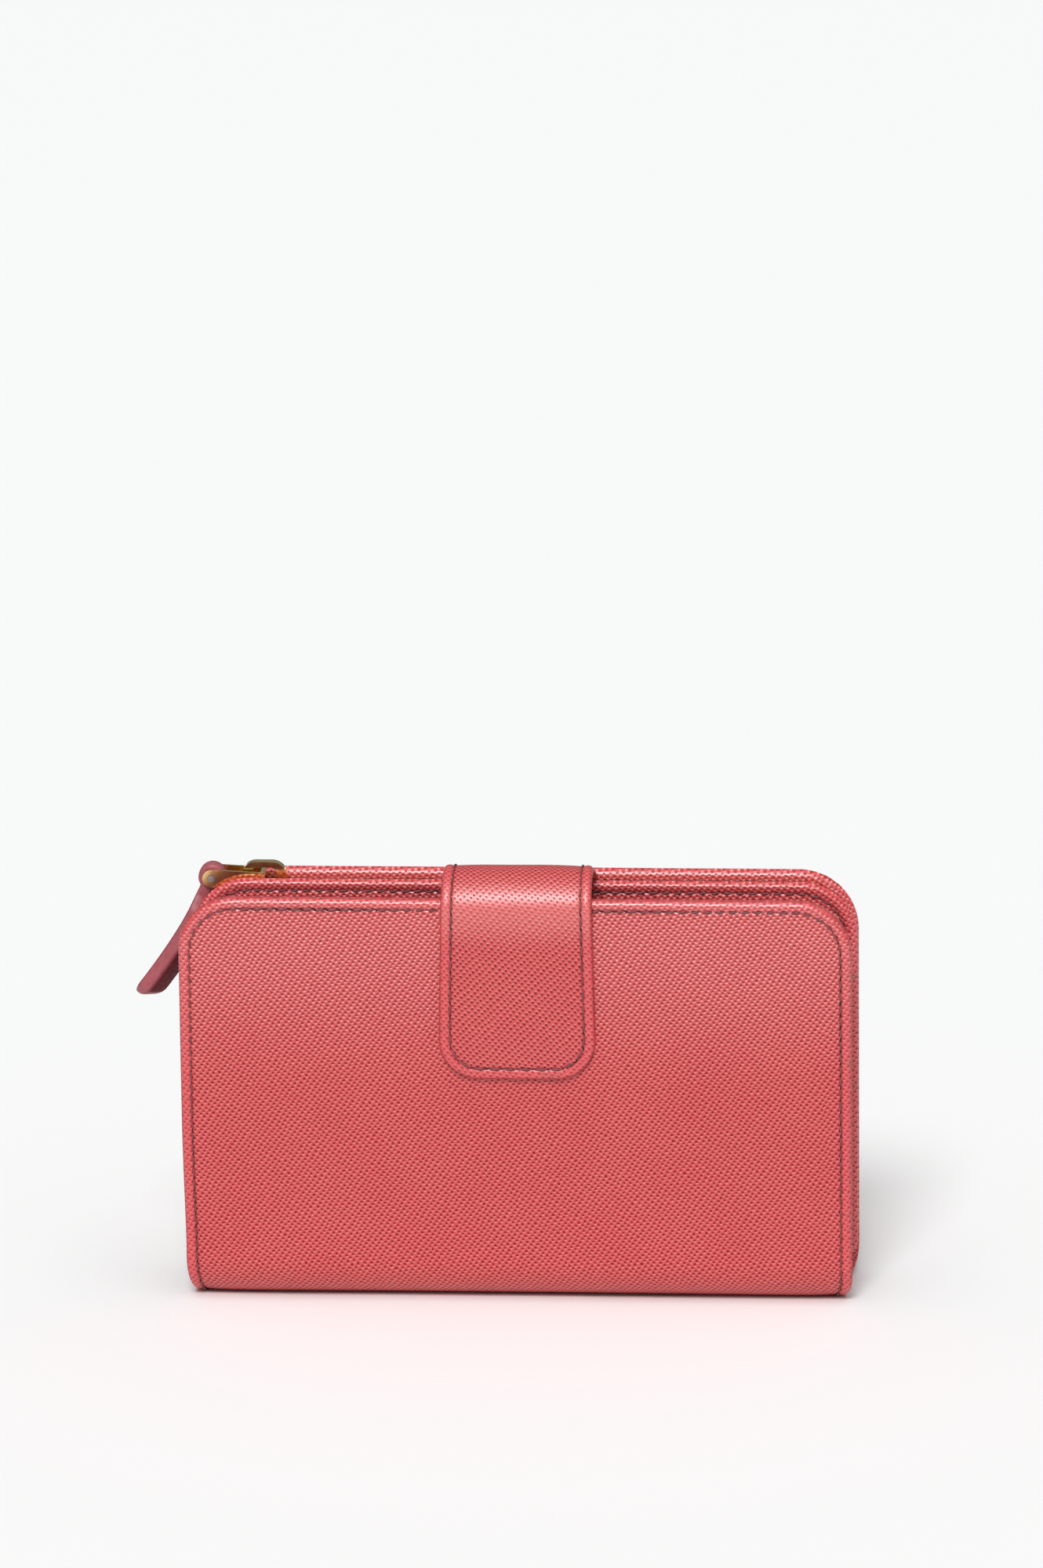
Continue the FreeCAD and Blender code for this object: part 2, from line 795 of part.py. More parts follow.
def tab_bridge_outline(outer, inner):
    """The part of the tab that crosses the top of the wallet."""
    first, last = FRONT_SPLIT - SLIT, ROOT_SPLIT + SLIT
    rise, fall = 90 + FRONT_SLOPE, 90 - BACK_SLOPE
    outline = []
    for depth in (outer, inner):
        front_r, crest_r, root_r = FRONT_RADIUS - depth, CREST_RADIUS - depth, ROOT_RADIUS - depth
        outline += [
            arc(front_centre, front_r, rise, first),
            line(on_circle(front_centre, front_r, rise), on_circle(crest_centre, crest_r, rise)),
            arc(crest_centre, crest_r, fall, rise),
            line(on_circle(crest_centre, crest_r, fall), on_circle(root_centre, root_r, fall)),
            arc(root_centre, root_r, last, fall),
        ]
    for centre, radius, angle in ((front_centre, FRONT_RADIUS, first), (root_centre, ROOT_RADIUS, last)):
        outline.append(
            line(on_circle(centre, radius - outer, angle), on_circle(centre, radius - inner, angle))
        )
    return outline


def tab_root_outline():
    """The end of the tab, sewn in between the back leather and the zip pocket."""
    split, low = ROOT_SPLIT - SLIT, size("panel_height") - TAB_ROOT_DEPTH
    inner = ROOT_RADIUS - size("tab_thick")
    return [
        arc(root_centre, ROOT_RADIUS, 0, split),
        line(on_circle(root_centre, ROOT_RADIUS, split), on_circle(root_centre, inner, split)),
        arc(root_centre, inner, 0, split),
        line(point(root_y + inner, root_centre.y), point(root_y + inner, low)),
        line(point(root_y + inner, low), point(ROOT_FACE, low)),
        line(point(ROOT_FACE, low), point(ROOT_FACE, root_centre.y)),
    ]


def rounded_end(name):
    """A tool with the tab's outline from the front: full height, rounded at its lower corners."""
    tool = panel(name, "sizes.tab_width", "60", "sizes.tab_corner", "20")
    return place(
        tool,
        "sizes.tab_shift",
        "-sizes.half_depth - 12",
        "sizes.tab_low + 60",
        (0, 1, 0),
        180,
    )


def tab_front_layer(name, outer, inner, magnet_hole):
    strip = prism(name + "_strip", "YZ_Plane", tab_front_outline(outer, inner), "sizes.tab_width")
    place(strip, "sizes.tab_shift")
    shaped = boolean("Part::Common", name + "_shaped", strip, rounded_end(name + "_end"))
    if magnet_hole:
        hole = disc(name + "_hole", KEEPER_HOLE, "10")
        place(hole, "sizes.tab_shift", "-sizes.half_depth + 5", "sizes.magnet_height", (1, 0, 0), 90)
        shaped = boolean("Part::Cut", name + "_cut", shaped, hole)
    finished(shaped, name)


tab_front_layer("tab_front_leather", 0.0, size("tab_outer"), False)
tab_front_layer("tab_front_lining", size("tab_outer"), size("tab_thick"), True)
for name, outer, inner in (
    ("tab_bridge_leather", 0.0, size("tab_outer")),
    ("tab_bridge_lining", size("tab_outer"), size("tab_thick")),
):
    outline = tab_bridge_outline(outer, inner)
    place(finished(prism(name, "YZ_Plane", outline, "sizes.tab_width"), name), "sizes.tab_shift")
place(
    finished(prism("tab_root", "YZ_Plane", tab_root_outline(), "sizes.tab_width"), "tab_root"),
    "sizes.tab_shift",
)
place(
    finished(disc("tab_magnet", "sizes.magnet_radius", "sizes.tab_thick - sizes.tab_outer"), "tab_magnet"),
    "sizes.tab_shift",
    "-sizes.half_depth - sizes.tab_gap",
    "sizes.magnet_height",
    (1, 0, 0),
    90,
)
seam(
    "tab_seam",
    "sizes.tab_width",
    "sizes.panel_height - 0.5 - sizes.tab_low",
    "sizes.panel_height - 0.5",
    f"{FRONT_FACE} - sizes.seam_proud",
    "sizes.tab_shift",
    "sizes.tab_corner",
    (0, 1, 0),
    180,
)

# ---------------------------------------------------------------- checks and export
doc.recompute()
for obj in doc.Objects:
    if {"Invalid", "Error"} & set(obj.State):
        raise RuntimeError(f"{obj.Label} failed: {obj.State}")
for part in SUBPARTS:
    if part.Shape.isNull() or not part.Shape.isValid() or not part.Shape.Solids:
        raise RuntimeError(f"{part.Label} has no valid solid")
for part in SUBPARTS:
    part.Shape.exportStep(f"parts/{part.Label}.step")
    box = part.Shape.BoundBox
    print(f"{part.Label:24s} {len(part.Shape.Solids)} x {box.XMin:7.2f} {box.XMax:7.2f}"
          f" y {box.YMin:7.2f} {box.YMax:7.2f} z {box.ZMin:7.2f} {box.ZMax:7.2f}")
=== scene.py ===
import math
import random

import bmesh
import bpy
from mathutils import Matrix, Vector, noise


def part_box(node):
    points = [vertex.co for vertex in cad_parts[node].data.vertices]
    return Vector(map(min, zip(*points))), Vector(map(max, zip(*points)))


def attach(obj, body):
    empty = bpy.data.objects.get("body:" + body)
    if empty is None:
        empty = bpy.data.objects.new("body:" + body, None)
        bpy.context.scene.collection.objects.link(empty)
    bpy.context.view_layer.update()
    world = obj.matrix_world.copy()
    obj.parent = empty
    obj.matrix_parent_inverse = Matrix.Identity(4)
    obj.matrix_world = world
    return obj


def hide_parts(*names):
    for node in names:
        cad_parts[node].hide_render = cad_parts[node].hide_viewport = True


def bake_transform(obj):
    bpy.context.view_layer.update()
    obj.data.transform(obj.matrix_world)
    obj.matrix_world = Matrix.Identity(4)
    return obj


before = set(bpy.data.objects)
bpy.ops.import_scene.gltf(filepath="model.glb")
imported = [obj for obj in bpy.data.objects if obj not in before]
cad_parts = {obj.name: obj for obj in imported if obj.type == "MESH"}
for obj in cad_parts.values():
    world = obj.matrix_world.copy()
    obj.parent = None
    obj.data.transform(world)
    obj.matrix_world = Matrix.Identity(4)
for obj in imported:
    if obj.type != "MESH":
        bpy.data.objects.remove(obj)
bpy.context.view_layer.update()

MM = 0.001
random.seed(11)

# ---------------------------------------------------------------- sizes read from the CAD frame (mm)


def box_mm(node):
    """The low and high corners of a CAD piece."""
    low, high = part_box(node)
    return low / MM, high / MM


cover_low, cover_high = box_mm("cover_leather")
_, back_high = box_mm("back_leather")
middle_low, middle_high = box_mm("middle_leather")
tab_low, tab_high = box_mm("tab_front_leather")
root_low, root_high = box_mm("tab_root")
FRONT, BACK, TOP = cover_low.y, back_high.y, cover_high.z
FOLD_RADIUS = 9.0  # of the leather's outer face at the two folds
SKIN = 1.5  # leather alone, without a board
CORNER = 12.0
FOLD_ARC = FOLD_RADIUS * math.pi / 2
FLAT_HALF = BACK - FOLD_RADIUS  # of the flat underside


# ---------------------------------------------------------------- paths that the leather follows
class Route:
    """A side profile in the YZ plane, walked from its start: straight runs and arcs.
    side is +1 where the inside of the leather is on the right of the walk, -1 on the left."""

    def __init__(self, start, heading, side, steps):
        self.side = side
        self.parts = []
        self.length = 0.0
        y, z = start
        for size, turn in steps:
            length = size if turn == 0 else abs(math.radians(turn)) * size
            self.parts.append((self.length, length, y, z, heading, size, turn))
            y, z, heading = self.walk(self.parts[-1], length)
            self.length += length

    @staticmethod
    def walk(part, run):
        _, length, y, z, heading, size, turn = part
        if turn == 0:
            return y + run * math.cos(heading), z + run * math.sin(heading), heading
        sense = math.copysign(1.0, turn)
        swept = sense * run / size
        cy = y - sense * size * math.sin(heading)
        cz = z + sense * size * math.cos(heading)
        new = heading + swept
        return cy + sense * size * math.sin(new), cz - sense * size * math.cos(new), new

    def at(self, v):
        """(y, z) on the outer face, and the unit vector into the leather."""
        part = self.parts[0]
        for other in self.parts:
            if v >= other[0] - 1e-9:
                part = other
        y, z, heading = self.walk(part, v - part[0])
        return y, z, self.side * math.sin(heading), -self.side * math.cos(heading)


LEAF_RISE = TOP - FOLD_RADIUS
LEAF_TOP = FLAT_HALF + FOLD_ARC + LEAF_RISE
cover_route = Route((0, 0), math.pi, 1, [(FLAT_HALF, 0), (FOLD_RADIUS, -90), (LEAF_RISE, 0)])
back_route = Route((0, 0), 0, -1, [(FLAT_HALF, 0), (FOLD_RADIUS, 90), (LEAF_RISE + 1, 0)])
PANEL_FOOT = 5.0
middle_route = Route((middle_low.y, PANEL_FOOT), math.pi / 2, 1, [(TOP - PANEL_FOOT, 0)])

# The tab's outer face, from its sewn root up over the crest and down the front.
TAB_THICK = 1.8
FRONT_BEND, CREST_BEND, ROOT_BEND = 7.0, 11.0, 2.2
FRONT_SLOPE, BACK_SLOPE, CREST_RUN, BACK_RUN = 27.0, 20.0, 1.27, 14.197
ROOT_RISE, FRONT_DROP = 10.6, 36.67
tab_route = Route(
    (root_high.y, root_low.z),
    math.pi / 2,
    -1,
    [
        (ROOT_RISE, 0),
        (ROOT_BEND, 90 - BACK_SLOPE),
        (BACK_RUN, 0),
        (CREST_BEND, BACK_SLOPE + FRONT_SLOPE),
        (CREST_RUN, 0),
        (FRONT_BEND, 90 - FRONT_SLOPE),
        (FRONT_DROP, 0),
    ],
)


# ---------------------------------------------------------------- sheets of leather
def spread(start, end, step):
    """Evenly spaced values, ends included."""
    count = max(1, round(abs(end - start) / step))
    return [start + (end - start) * k / count for k in range(count + 1)]


def unique(values):
    kept = []
    for value in sorted(values):
        if not kept or value - kept[-1] > 1e-4:
            kept.append(value)
    return kept


SEAM_INSET = 2.4
# Distances from the edge at which a panel has points: close together at the rounded edge and the seam.
EDGE_STEPS = [0, 0.06, 0.16, 0.32, 0.55, 0.85, 1.2, 1.6, 1.95, 2.15, 2.3, 2.42, 2.55, 2.75]
EDGE_STEPS += [3.05, 3.5, 4.3, 5.8, 8.0]


class Outline:
    """The flat shape of a panel in its own (u, v): straight sides, with rounded corners at one end.
    edge(v) gives how far the left and the right side draw in. A square outline has no rounded end."""

    def __init__(self, half, centre, end, radius, edge, first=0.0, square=False):
        self.half, self.centre, self.end = half, centre, end
        self.radius, self.first = radius, first
        self.edge, self.square = edge, square

    def sides(self, v):
        """The left and right ends of the row at v."""
        inset = 0.0
        rise = v - (self.end - self.radius)
        if rise > 0 and not self.square:
            rise = min(rise, self.radius)
            inset = self.radius - math.sqrt(max(0.0, self.radius**2 - rise**2))
        left, right = self.edge(v)
        return self.centre - self.half + inset + left, self.centre + self.half - inset - right

    def depth(self, u, v):
        """Distance from (u, v) to the outline."""
        left, right = self.edge(v)
        low, high = self.centre - self.half + left, self.centre + self.half - right
        near = min(u - low, high - u)
        if self.square:
            return max(0.0, near)
        if v > self.end - self.radius and near < self.radius:
            away = math.hypot(self.radius - near, v - (self.end - self.radius))
            return max(0.0, self.radius - away)
        return max(0.0, min(near, self.end - v))

    def rows(self, step, extra):
        """Values of v, closer together round the end's corners."""
        if self.square:
            return unique(spread(self.first, self.end, step) + list(extra))
        start = self.end - self.radius
        fine = [start + self.radius * math.sin(math.radians(a)) for a in spread(0, 90, 3.2)]
        fine += [self.end - d for d in EDGE_STEPS]
        return unique(spread(self.first, start, step) + fine + list(extra))

    def columns(self, step):
        """Shares of the width, closer together at both sides."""
        width = 2 * self.half
        left = [d / width for d in EDGE_STEPS]
        inner = spread(left[-1], 1 - left[-1], step / width)
        return unique(left + inner + [1 - f for f in left])


def smooth_step(low, high, value):
    t = min(1.0, max(0.0, (value - low) / (high - low)))
    return t * t * (3 - 2 * t)


EDGE_ROLL, ROLL_START, ROLL_WIDTH = 0.20, 0.15, 2.15  # the raised roll between edge and seam
GROOVE, GROOVE_WIDTH = 0.15, 0.34  # what the thread presses in
PUFF, TAB_PUFF, PUFF_REACH = 0.42, 0.15, 3.6  # how far a panel swells inside its seam
INNER_SHARE = 0.5  # how much of the sculpted relief the inner face follows


def edge_drop(d, radius):
    """How far a rounded edge has dropped at distance d from the outline."""
    return 0.0 if d >= radius else radius - math.sqrt(max(0.0, radius**2 - (radius - d) ** 2))


def border_relief(d, thick, puff):
    """Height of the outer face over the flat panel at distance d from the edge."""
    roll = EDGE_ROLL * math.sin(math.pi * min(1.0, max(0.0, (d - ROLL_START) / ROLL_WIDTH)))
    groove = -GROOVE * math.exp(-(((d - SEAM_INSET) / GROOVE_WIDTH) ** 2))
    swell = puff * (1 - math.exp(-max(0.0, d - SEAM_INSET) / PUFF_REACH))
    return -edge_drop(d, thick / 2) + roll + groove + swell


def leather_sheet(name, outline, route, thick, sculpt, extra_rows, step=2.0, puff=PUFF):
    """A closed leather panel: an outer and an inner face that meet in a rounded edge. thick is a
    thickness or a function of v, and sculpt(u, v, d) raises the outer face.
    Its UV map holds millimetres along the leather over 100, and 'edge' the distance from the edge."""
    rows, columns = outline.rows(step, extra_rows), outline.columns(step)
    vertices, edge_values, flat = [], [], []
    for face in (0, 1):
        for v in rows:
            left, right = outline.sides(v)
            y, z, ny, nz = route.at(v)
            depth_here = thick(v) if callable(thick) else thick
            for f in columns:
                u = left + f * (right - left)
                d = outline.depth(u, v)
                extra = sculpt(u, v, d)
                if face == 0:
                    inward = -border_relief(d, depth_here, puff) - extra
                else:
                    inward = depth_here - edge_drop(d, depth_here / 2) - extra * INNER_SHARE
                vertices.append((u * MM, (y + ny * inward) * MM, (z + nz * inward) * MM))
                edge_values.append(d)
                flat.append((u, v))
    across, count = len(columns), len(rows) * len(columns)

    def index(face, i, j):
        """The two faces share the points of their rim."""
        rim = j in (0, across - 1) or (i == len(rows) - 1 and not outline.square)
        return (0 if rim else face * count) + i * across + j

    faces = []
    for i in range(len(rows) - 1):
        for j in range(across - 1):
            quad = [(i, j), (i, j + 1), (i + 1, j + 1), (i + 1, j)]
            faces.append([index(0, a, b) for a, b in quad])
            faces.append([index(1, a, b) for a, b in reversed(quad)])
    obj = mesh_object(name, vertices, faces)
    mesh = obj.data
    layer = mesh.uv_layers.new(name="UVMap")
    for loop in mesh.loops:
        u, v = flat[loop.vertex_index]
        layer.data[loop.index].uv = (u / 100, v / 100)
    attribute = mesh.attributes.new("edge", "FLOAT", "POINT")
    attribute.data.foreach_set("value", edge_values)
    tidy_mesh(obj)
    return obj


def mesh_object(name, vertices, faces, smooth=True):
    mesh = bpy.data.meshes.new(name)
    mesh.from_pydata(vertices, [], faces)
    mesh.update()
    obj = bpy.data.objects.new(name, mesh)
    bpy.context.scene.collection.objects.link(obj)
    for polygon in mesh.polygons:
        polygon.use_smooth = smooth
    return obj


def tube_faces(start, rings, sides, closed=False):
    """Quads between rings of points that follow each other; closed joins the last ring to the first."""
    faces = []
    for r in range(rings if closed else rings - 1):
        here, there = start + r * sides, start + (r + 1) % rings * sides
        for s in range(sides):
            n = (s + 1) % sides
            faces.append([here + s, here + n, there + n, there + s])
    return faces


def squared(value, power):
    """A cosine or sine pushed towards 1 or -1, which turns a circle into a rounded rectangle."""
    return math.copysign(abs(value) ** power, value)


def tidy_mesh(obj):
    """Drops points that no face uses and makes the normals point outwards."""
    work = bmesh.new()
    work.from_mesh(obj.data)
    loose = [v for v in work.verts if not v.link_faces]
    bmesh.ops.delete(work, geom=loose, context="VERTS")
    bmesh.ops.recalc_face_normals(work, faces=work.faces)
    work.to_mesh(obj.data)
    work.free()


# ---------------------------------------------------------------- materials
def new_material(name):
    """A material with one Principled shader, its node tree, and that shader."""
    material = bpy.data.materials.new(name)
    material.use_nodes = True
    tree = material.node_tree
    tree.nodes.clear()
    output = tree.nodes.new("ShaderNodeOutputMaterial")
    shader = tree.nodes.new("ShaderNodeBsdfPrincipled")
    tree.links.new(shader.outputs["BSDF"], output.inputs["Surface"])
    return material, tree, shader


class Graph:
    """Short ways to add and join shader nodes."""

    def __init__(self, tree):
        self.tree = tree

    def put(self, kind, **settings):
        node = self.tree.nodes.new(kind)
        for key, value in settings.items():
            setattr(node, key, value)
        return node

    def feed(self, socket, value):
        """Links another node's output to the socket, or sets a plain value."""
        if isinstance(value, bpy.types.NodeSocket):
            self.tree.links.new(value, socket)
        else:
            socket.default_value = value

    def math(self, operation, a, b=0.0):
        node = self.put("ShaderNodeMath", operation=operation)
        for socket, value in zip(node.inputs, (a, b)):
            self.feed(socket, value)
        return node.outputs[0]

    def vector(self, operation, a, b=(0, 0, 0), scale=None):
        node = self.put("ShaderNodeVectorMath", operation=operation)
        self.feed(node.inputs[0], a)
        self.feed(node.inputs[1], b)
        if scale is not None:
            self.feed(node.inputs["Scale"], scale)
        return node.outputs["Value"] if operation == "DOT_PRODUCT" else node.outputs["Vector"]

    def noise(self, vector, scale, detail=2.0, rough=0.5, colour=False):
        node = self.put("ShaderNodeTexNoise")
        self.feed(node.inputs["Vector"], vector)
        node.inputs["Scale"].default_value = scale
        node.inputs["Detail"].default_value = detail
        node.inputs["Roughness"].default_value = rough
        return node.outputs["Color" if colour else "Fac"]

    def span(self, value, low, high, to_low=0.0, to_high=1.0):
        """A smooth step from to_low, where the value is low, to to_high."""
        node = self.put("ShaderNodeMapRange", interpolation_type="SMOOTHSTEP")
        self.feed(node.inputs["Value"], value)
        node.inputs["From Min"].default_value = low
        node.inputs["From Max"].default_value = high
        node.inputs["To Min"].default_value = to_low
        node.inputs["To Max"].default_value = to_high
        return node.outputs["Result"]

    def mix(self, share, a, b):
        node = self.put("ShaderNodeMix", data_type="RGBA")
        self.feed(node.inputs[0], share)
        self.feed(node.inputs[6], a)
        self.feed(node.inputs[7], b)
        return node.outputs[2]

    def bump(self, height, distance, strength=1.0):
        node = self.put("ShaderNodeBump")
        node.inputs["Strength"].default_value = strength
        node.inputs["Distance"].default_value = distance
        self.feed(node.inputs["Height"], height)
        return node.outputs["Normal"]


def colour(red, green, blue):
    return (red, green, blue, 1.0)


CORAL = colour(0.635, 0.057, 0.063)
CORAL_WARM = colour(0.655, 0.069, 0.070)
# The next three colours are painted highlights; the pit colour after them is painted shade, in the pits and along
# the seam.
CORAL_PAINTED_HIGHLIGHT = colour(0.78, 0.135, 0.13)
CORAL_PAINTED_FACET_HIGHLIGHT = colour(0.95, 0.40, 0.39)
CORAL_PAINTED_SHEEN = colour(1.0, 0.62, 0.60)
CORAL_PAINTED_SHADE = colour(0.33, 0.007, 0.011)
CORAL_EDGE = colour(0.76, 0.090, 0.105)
SCUFF = colour(0.26, 0.10, 0.075)
# Waves for each millimetre across and along, for the two sets of pressed lines.
GRAIN_COVER = ((0.612, 0.890), (0.785, -0.560))
GRAIN_TAB = ((0.612, 0.648), (0.832, -0.693))


def grain_leather(
    name, grain, border_grain, painted_edge=True, spots=(), coat_ior=1.75, coat_rough=0.34, bend=None
):
    """Cross-grain leather: two sets of pressed lines leave rows of small raised facets with pits between them.
    The pits and the seam line are darkened with painted shade, and the facets that face up get a painted
    highlight. Outside the seam the grain is flatter, and the cut edge is painted. spots are scuffed places at an
    edge (u, v, radius). bend is how far along the tab the painted highlight and the glossier coat are strongest:
    without it, a panel gets both towards its top."""
    material, tree, shader = new_material(name)
    graph = Graph(tree)
    uv = graph.put("ShaderNodeUVMap", uv_map="UVMap").outputs["UV"]
    place = graph.vector("SCALE", uv, scale=100.0)
    wander = graph.vector("SUBTRACT", graph.noise(place, 0.30, 2.0, colour=True), (0.5, 0.5, 0.5))
    drift = graph.vector("SUBTRACT", graph.noise(place, 1.1, 1.0, colour=True), (0.5, 0.5, 0.5))
    bent = graph.vector("ADD", place, graph.vector("SCALE", wander, scale=0.85))
    bent = graph.vector("ADD", bent, graph.vector("SCALE", drift, scale=0.22))
    waves, slopes = [], []
    for fu, fv in grain:
        phase = graph.math("MULTIPLY", graph.vector("DOT_PRODUCT", bent, (fu, fv, 0.0)), 2 * math.pi)
        waves.append(graph.math("COSINE", phase))
        slopes.append(graph.math("MULTIPLY", graph.math("SINE", phase), -math.copysign(0.5, fv)))
    lattice = graph.math("MULTIPLY", graph.math("ADD", waves[0], waves[1]), 0.5)
    facing_up = graph.math("ADD", slopes[0], slopes[1])
    uneven = graph.noise(place, 0.9, 2.0)
    edge = graph.put("ShaderNodeAttribute", attribute_name="edge").outputs["Fac"]
    inside = graph.span(edge, SEAM_INSET - 0.5, SEAM_INSET + 0.2)
    pressed = graph.span(inside, 0.0, 1.0, border_grain, 1.0)
    pressed = graph.math("MULTIPLY", pressed, graph.span(uneven, 0.25, 0.75, 0.75, 1.1))
    fine = graph.noise(place, 6.0, 3.0, 0.6)
    plateau = graph.span(lattice, -0.92, -0.25)
    height = graph.math("ADD", graph.math("MULTIPLY", lattice, 0.34), plateau)
    height = graph.math("MULTIPLY", height, pressed)
    height = graph.math("ADD", height, graph.math("MULTIPLY", graph.math("SUBTRACT", fine, 0.5), 0.10))

    # Painted shade: the colour in the pits is darkened.
    painted_pit_shade = graph.math("MULTIPLY", graph.span(lattice, 0.0, -0.62), pressed)
    high = graph.put("ShaderNodeSeparateXYZ")
    graph.feed(high.inputs[0], uv)
    # A painted highlight: the colour gets lighter towards a panel's top, or round the tab's bend, where the coat is
    # glossier too.
    if bend is None:
        polish_and_painted_highlight, light = graph.span(high.outputs["Y"], 0.55, 0.99), 0.16
    else:
        away = graph.math("ABSOLUTE", graph.math("SUBTRACT", high.outputs["Y"], bend / 100))
        polish_and_painted_highlight, light = graph.span(away, 0.095, 0.0), 0.60
    # A painted highlight: facets whose slopes face up get a lighter colour, more so near the top.
    lit = graph.span(facing_up, -0.25, -0.85)
    painted_facet_highlight = graph.math("MULTIPLY", lit, graph.math("ADD", 0.58, graph.math("MULTIPLY", polish_and_painted_highlight, 0.42)))
    painted_ridge_highlight = graph.math("MULTIPLY", painted_facet_highlight, pressed)
    patch = graph.noise(place, 0.06, 3.0)
    base = graph.mix(graph.span(patch, 0.3, 0.7), CORAL, CORAL_WARM)
    base = graph.mix(graph.math("MULTIPLY", graph.math("SUBTRACT", 1.0, inside), 0.50), base, CORAL_EDGE)
    # Painted highlight on the facets that face up.
    base = graph.mix(graph.math("MULTIPLY", painted_ridge_highlight, 0.80), base, CORAL_PAINTED_FACET_HIGHLIGHT)
    # A painted sheen on those facets near the top or round the tab's bend.
    painted_sheen = graph.math("MULTIPLY", graph.math("MULTIPLY", lit, pressed), polish_and_painted_highlight)
    base = graph.mix(graph.math("MULTIPLY", painted_sheen, 0.55), base, CORAL_PAINTED_SHEEN)
    # Painted shade in the pits, then the painted highlight towards the top or round the tab's bend.
    base = graph.mix(painted_pit_shade, base, CORAL_PAINTED_SHADE)
    base = graph.mix(graph.math("MULTIPLY", polish_and_painted_highlight, light), base, CORAL_PAINTED_HIGHLIGHT)
    # Painted shade along the seam's groove.
    from_seam = graph.math("ABSOLUTE", graph.math("SUBTRACT", edge, SEAM_INSET))
    painted_seam_shade = graph.math("SUBTRACT", 1.0, graph.span(from_seam, 0.10, 0.42))
    base = graph.mix(graph.math("MULTIPLY", painted_seam_shade, 0.35), base, CORAL_PAINTED_SHADE)
    if painted_edge:
        paint = graph.span(edge, 0.42, 0.20)
        mottle = graph.span(graph.noise(place, 0.5, 3.0), 0.35, 0.65)
        paint_tone = graph.mix(mottle, colour(0.58, 0.065, 0.075), colour(0.36, 0.045, 0.05))
        base = graph.mix(graph.math("MULTIPLY", paint, 0.8), base, paint_tone)
    worn = graph.span(graph.noise(place, 0.16, 2.0), 0.64, 0.72)
    for u, v, reach in spots:
        flat = graph.vector("MULTIPLY", place, (1.0, 1.0, 0.0))
        offset = graph.put("ShaderNodeVectorMath", operation="DISTANCE")
        graph.feed(offset.inputs[0], flat)
        graph.feed(offset.inputs[1], (u, v, 0.0))
        worn = graph.math("MAXIMUM", worn, graph.span(offset.outputs["Value"], reach, reach * 0.5))
    speck = graph.span(graph.noise(place, 1.6, 3.0, 0.65), 0.52, 0.60)
    rim = graph.span(edge, 2.1, 0.9)
    scuff = graph.math("MULTIPLY", graph.math("MULTIPLY", worn, speck), rim)
    base = graph.mix(graph.math("MULTIPLY", scuff, 0.75), base, SCUFF)
    graph.feed(shader.inputs["Base Color"], base)
    graph.feed(shader.inputs["Roughness"], graph.span(plateau, 0.0, 1.0, 0.58, 0.40))
    gloss = graph.math("MULTIPLY", graph.math("ADD", 0.55, graph.math("MULTIPLY", polish_and_painted_highlight, 0.45)),
                       graph.math("ADD", 0.1, graph.math("MULTIPLY", plateau, 0.9)))
    gloss = graph.math("MULTIPLY", gloss, graph.span(edge, 0.1, 0.9, 0.25, 1.0))
    shader.inputs["Specular IOR Level"].default_value = 0.22  # a plain value: the export drops a linked one
    graph.feed(shader.inputs["Coat Weight"], gloss)
    shader.inputs["Coat IOR"].default_value = coat_ior
    shader.inputs["Coat Roughness"].default_value = coat_rough
    graph.feed(shader.inputs["Normal"], graph.bump(height, 0.00013))
    graph.feed(shader.inputs["Coat Normal"], graph.bump(height, 0.00003))
    return material


def plain_leather(name, base_colour, deep_colour, rough=0.5, bump=0.00004, scale=900.0, shine=0.5):
    """Smooth leather with a fine pore texture and slow changes of tone.
    bump is the pores' depth in metres, and shine the specular level."""
    material, tree, shader = new_material(name)
    graph = Graph(tree)
    place = graph.put("ShaderNodeTexCoord").outputs["Object"]
    pores = graph.put("ShaderNodeTexVoronoi")
    graph.feed(pores.inputs["Vector"], place)
    pores.inputs["Scale"].default_value = scale
    slow = graph.noise(place, 160.0, 3.0)
    fine = graph.noise(place, 2600.0, 2.0)
    share = graph.math("MULTIPLY", graph.span(slow, 0.3, 0.7), 0.22)
    between = graph.math("MULTIPLY", graph.span(pores.outputs["Distance"], 0.0, 0.6), 0.4)
    tone = graph.mix(graph.math("ADD", share, between), deep_colour, base_colour)
    graph.feed(shader.inputs["Base Color"], tone)
    graph.feed(shader.inputs["Roughness"], graph.span(slow, 0.3, 0.7, rough - 0.03, rough + 0.04))
    shader.inputs["Specular IOR Level"].default_value = shine
    height = graph.math("ADD", pores.outputs["Distance"], graph.math("MULTIPLY", fine, 0.5))
    graph.feed(shader.inputs["Normal"], graph.bump(height, bump))
    return material


def woven(name, base_colour, dark_colour, pitch):
    """A plain weave: two crossed sets of threads, pitch in metres."""
    material, tree, shader = new_material(name)
    graph = Graph(tree)
    place = graph.put("ShaderNodeTexCoord").outputs["Object"]
    parts = graph.put("ShaderNodeSeparateXYZ")
    graph.feed(parts.inputs[0], place)
    turn = 2 * math.pi / pitch
    warp = graph.math("SINE", graph.math("MULTIPLY", parts.outputs["X"], turn))
    rise = graph.math("ADD", parts.outputs["Z"], parts.outputs["Y"])
    weft = graph.math("SINE", graph.math("MULTIPLY", rise, turn))
    height = graph.math("MULTIPLY", warp, weft)
    tone = graph.mix(graph.span(height, -0.6, 0.6), dark_colour, base_colour)
    graph.feed(shader.inputs["Base Color"], tone)
    shader.inputs["Roughness"].default_value = 0.85
    shader.inputs["Sheen Weight"].default_value = 0.2
    graph.feed(shader.inputs["Normal"], graph.bump(height, 0.00005))
    return material


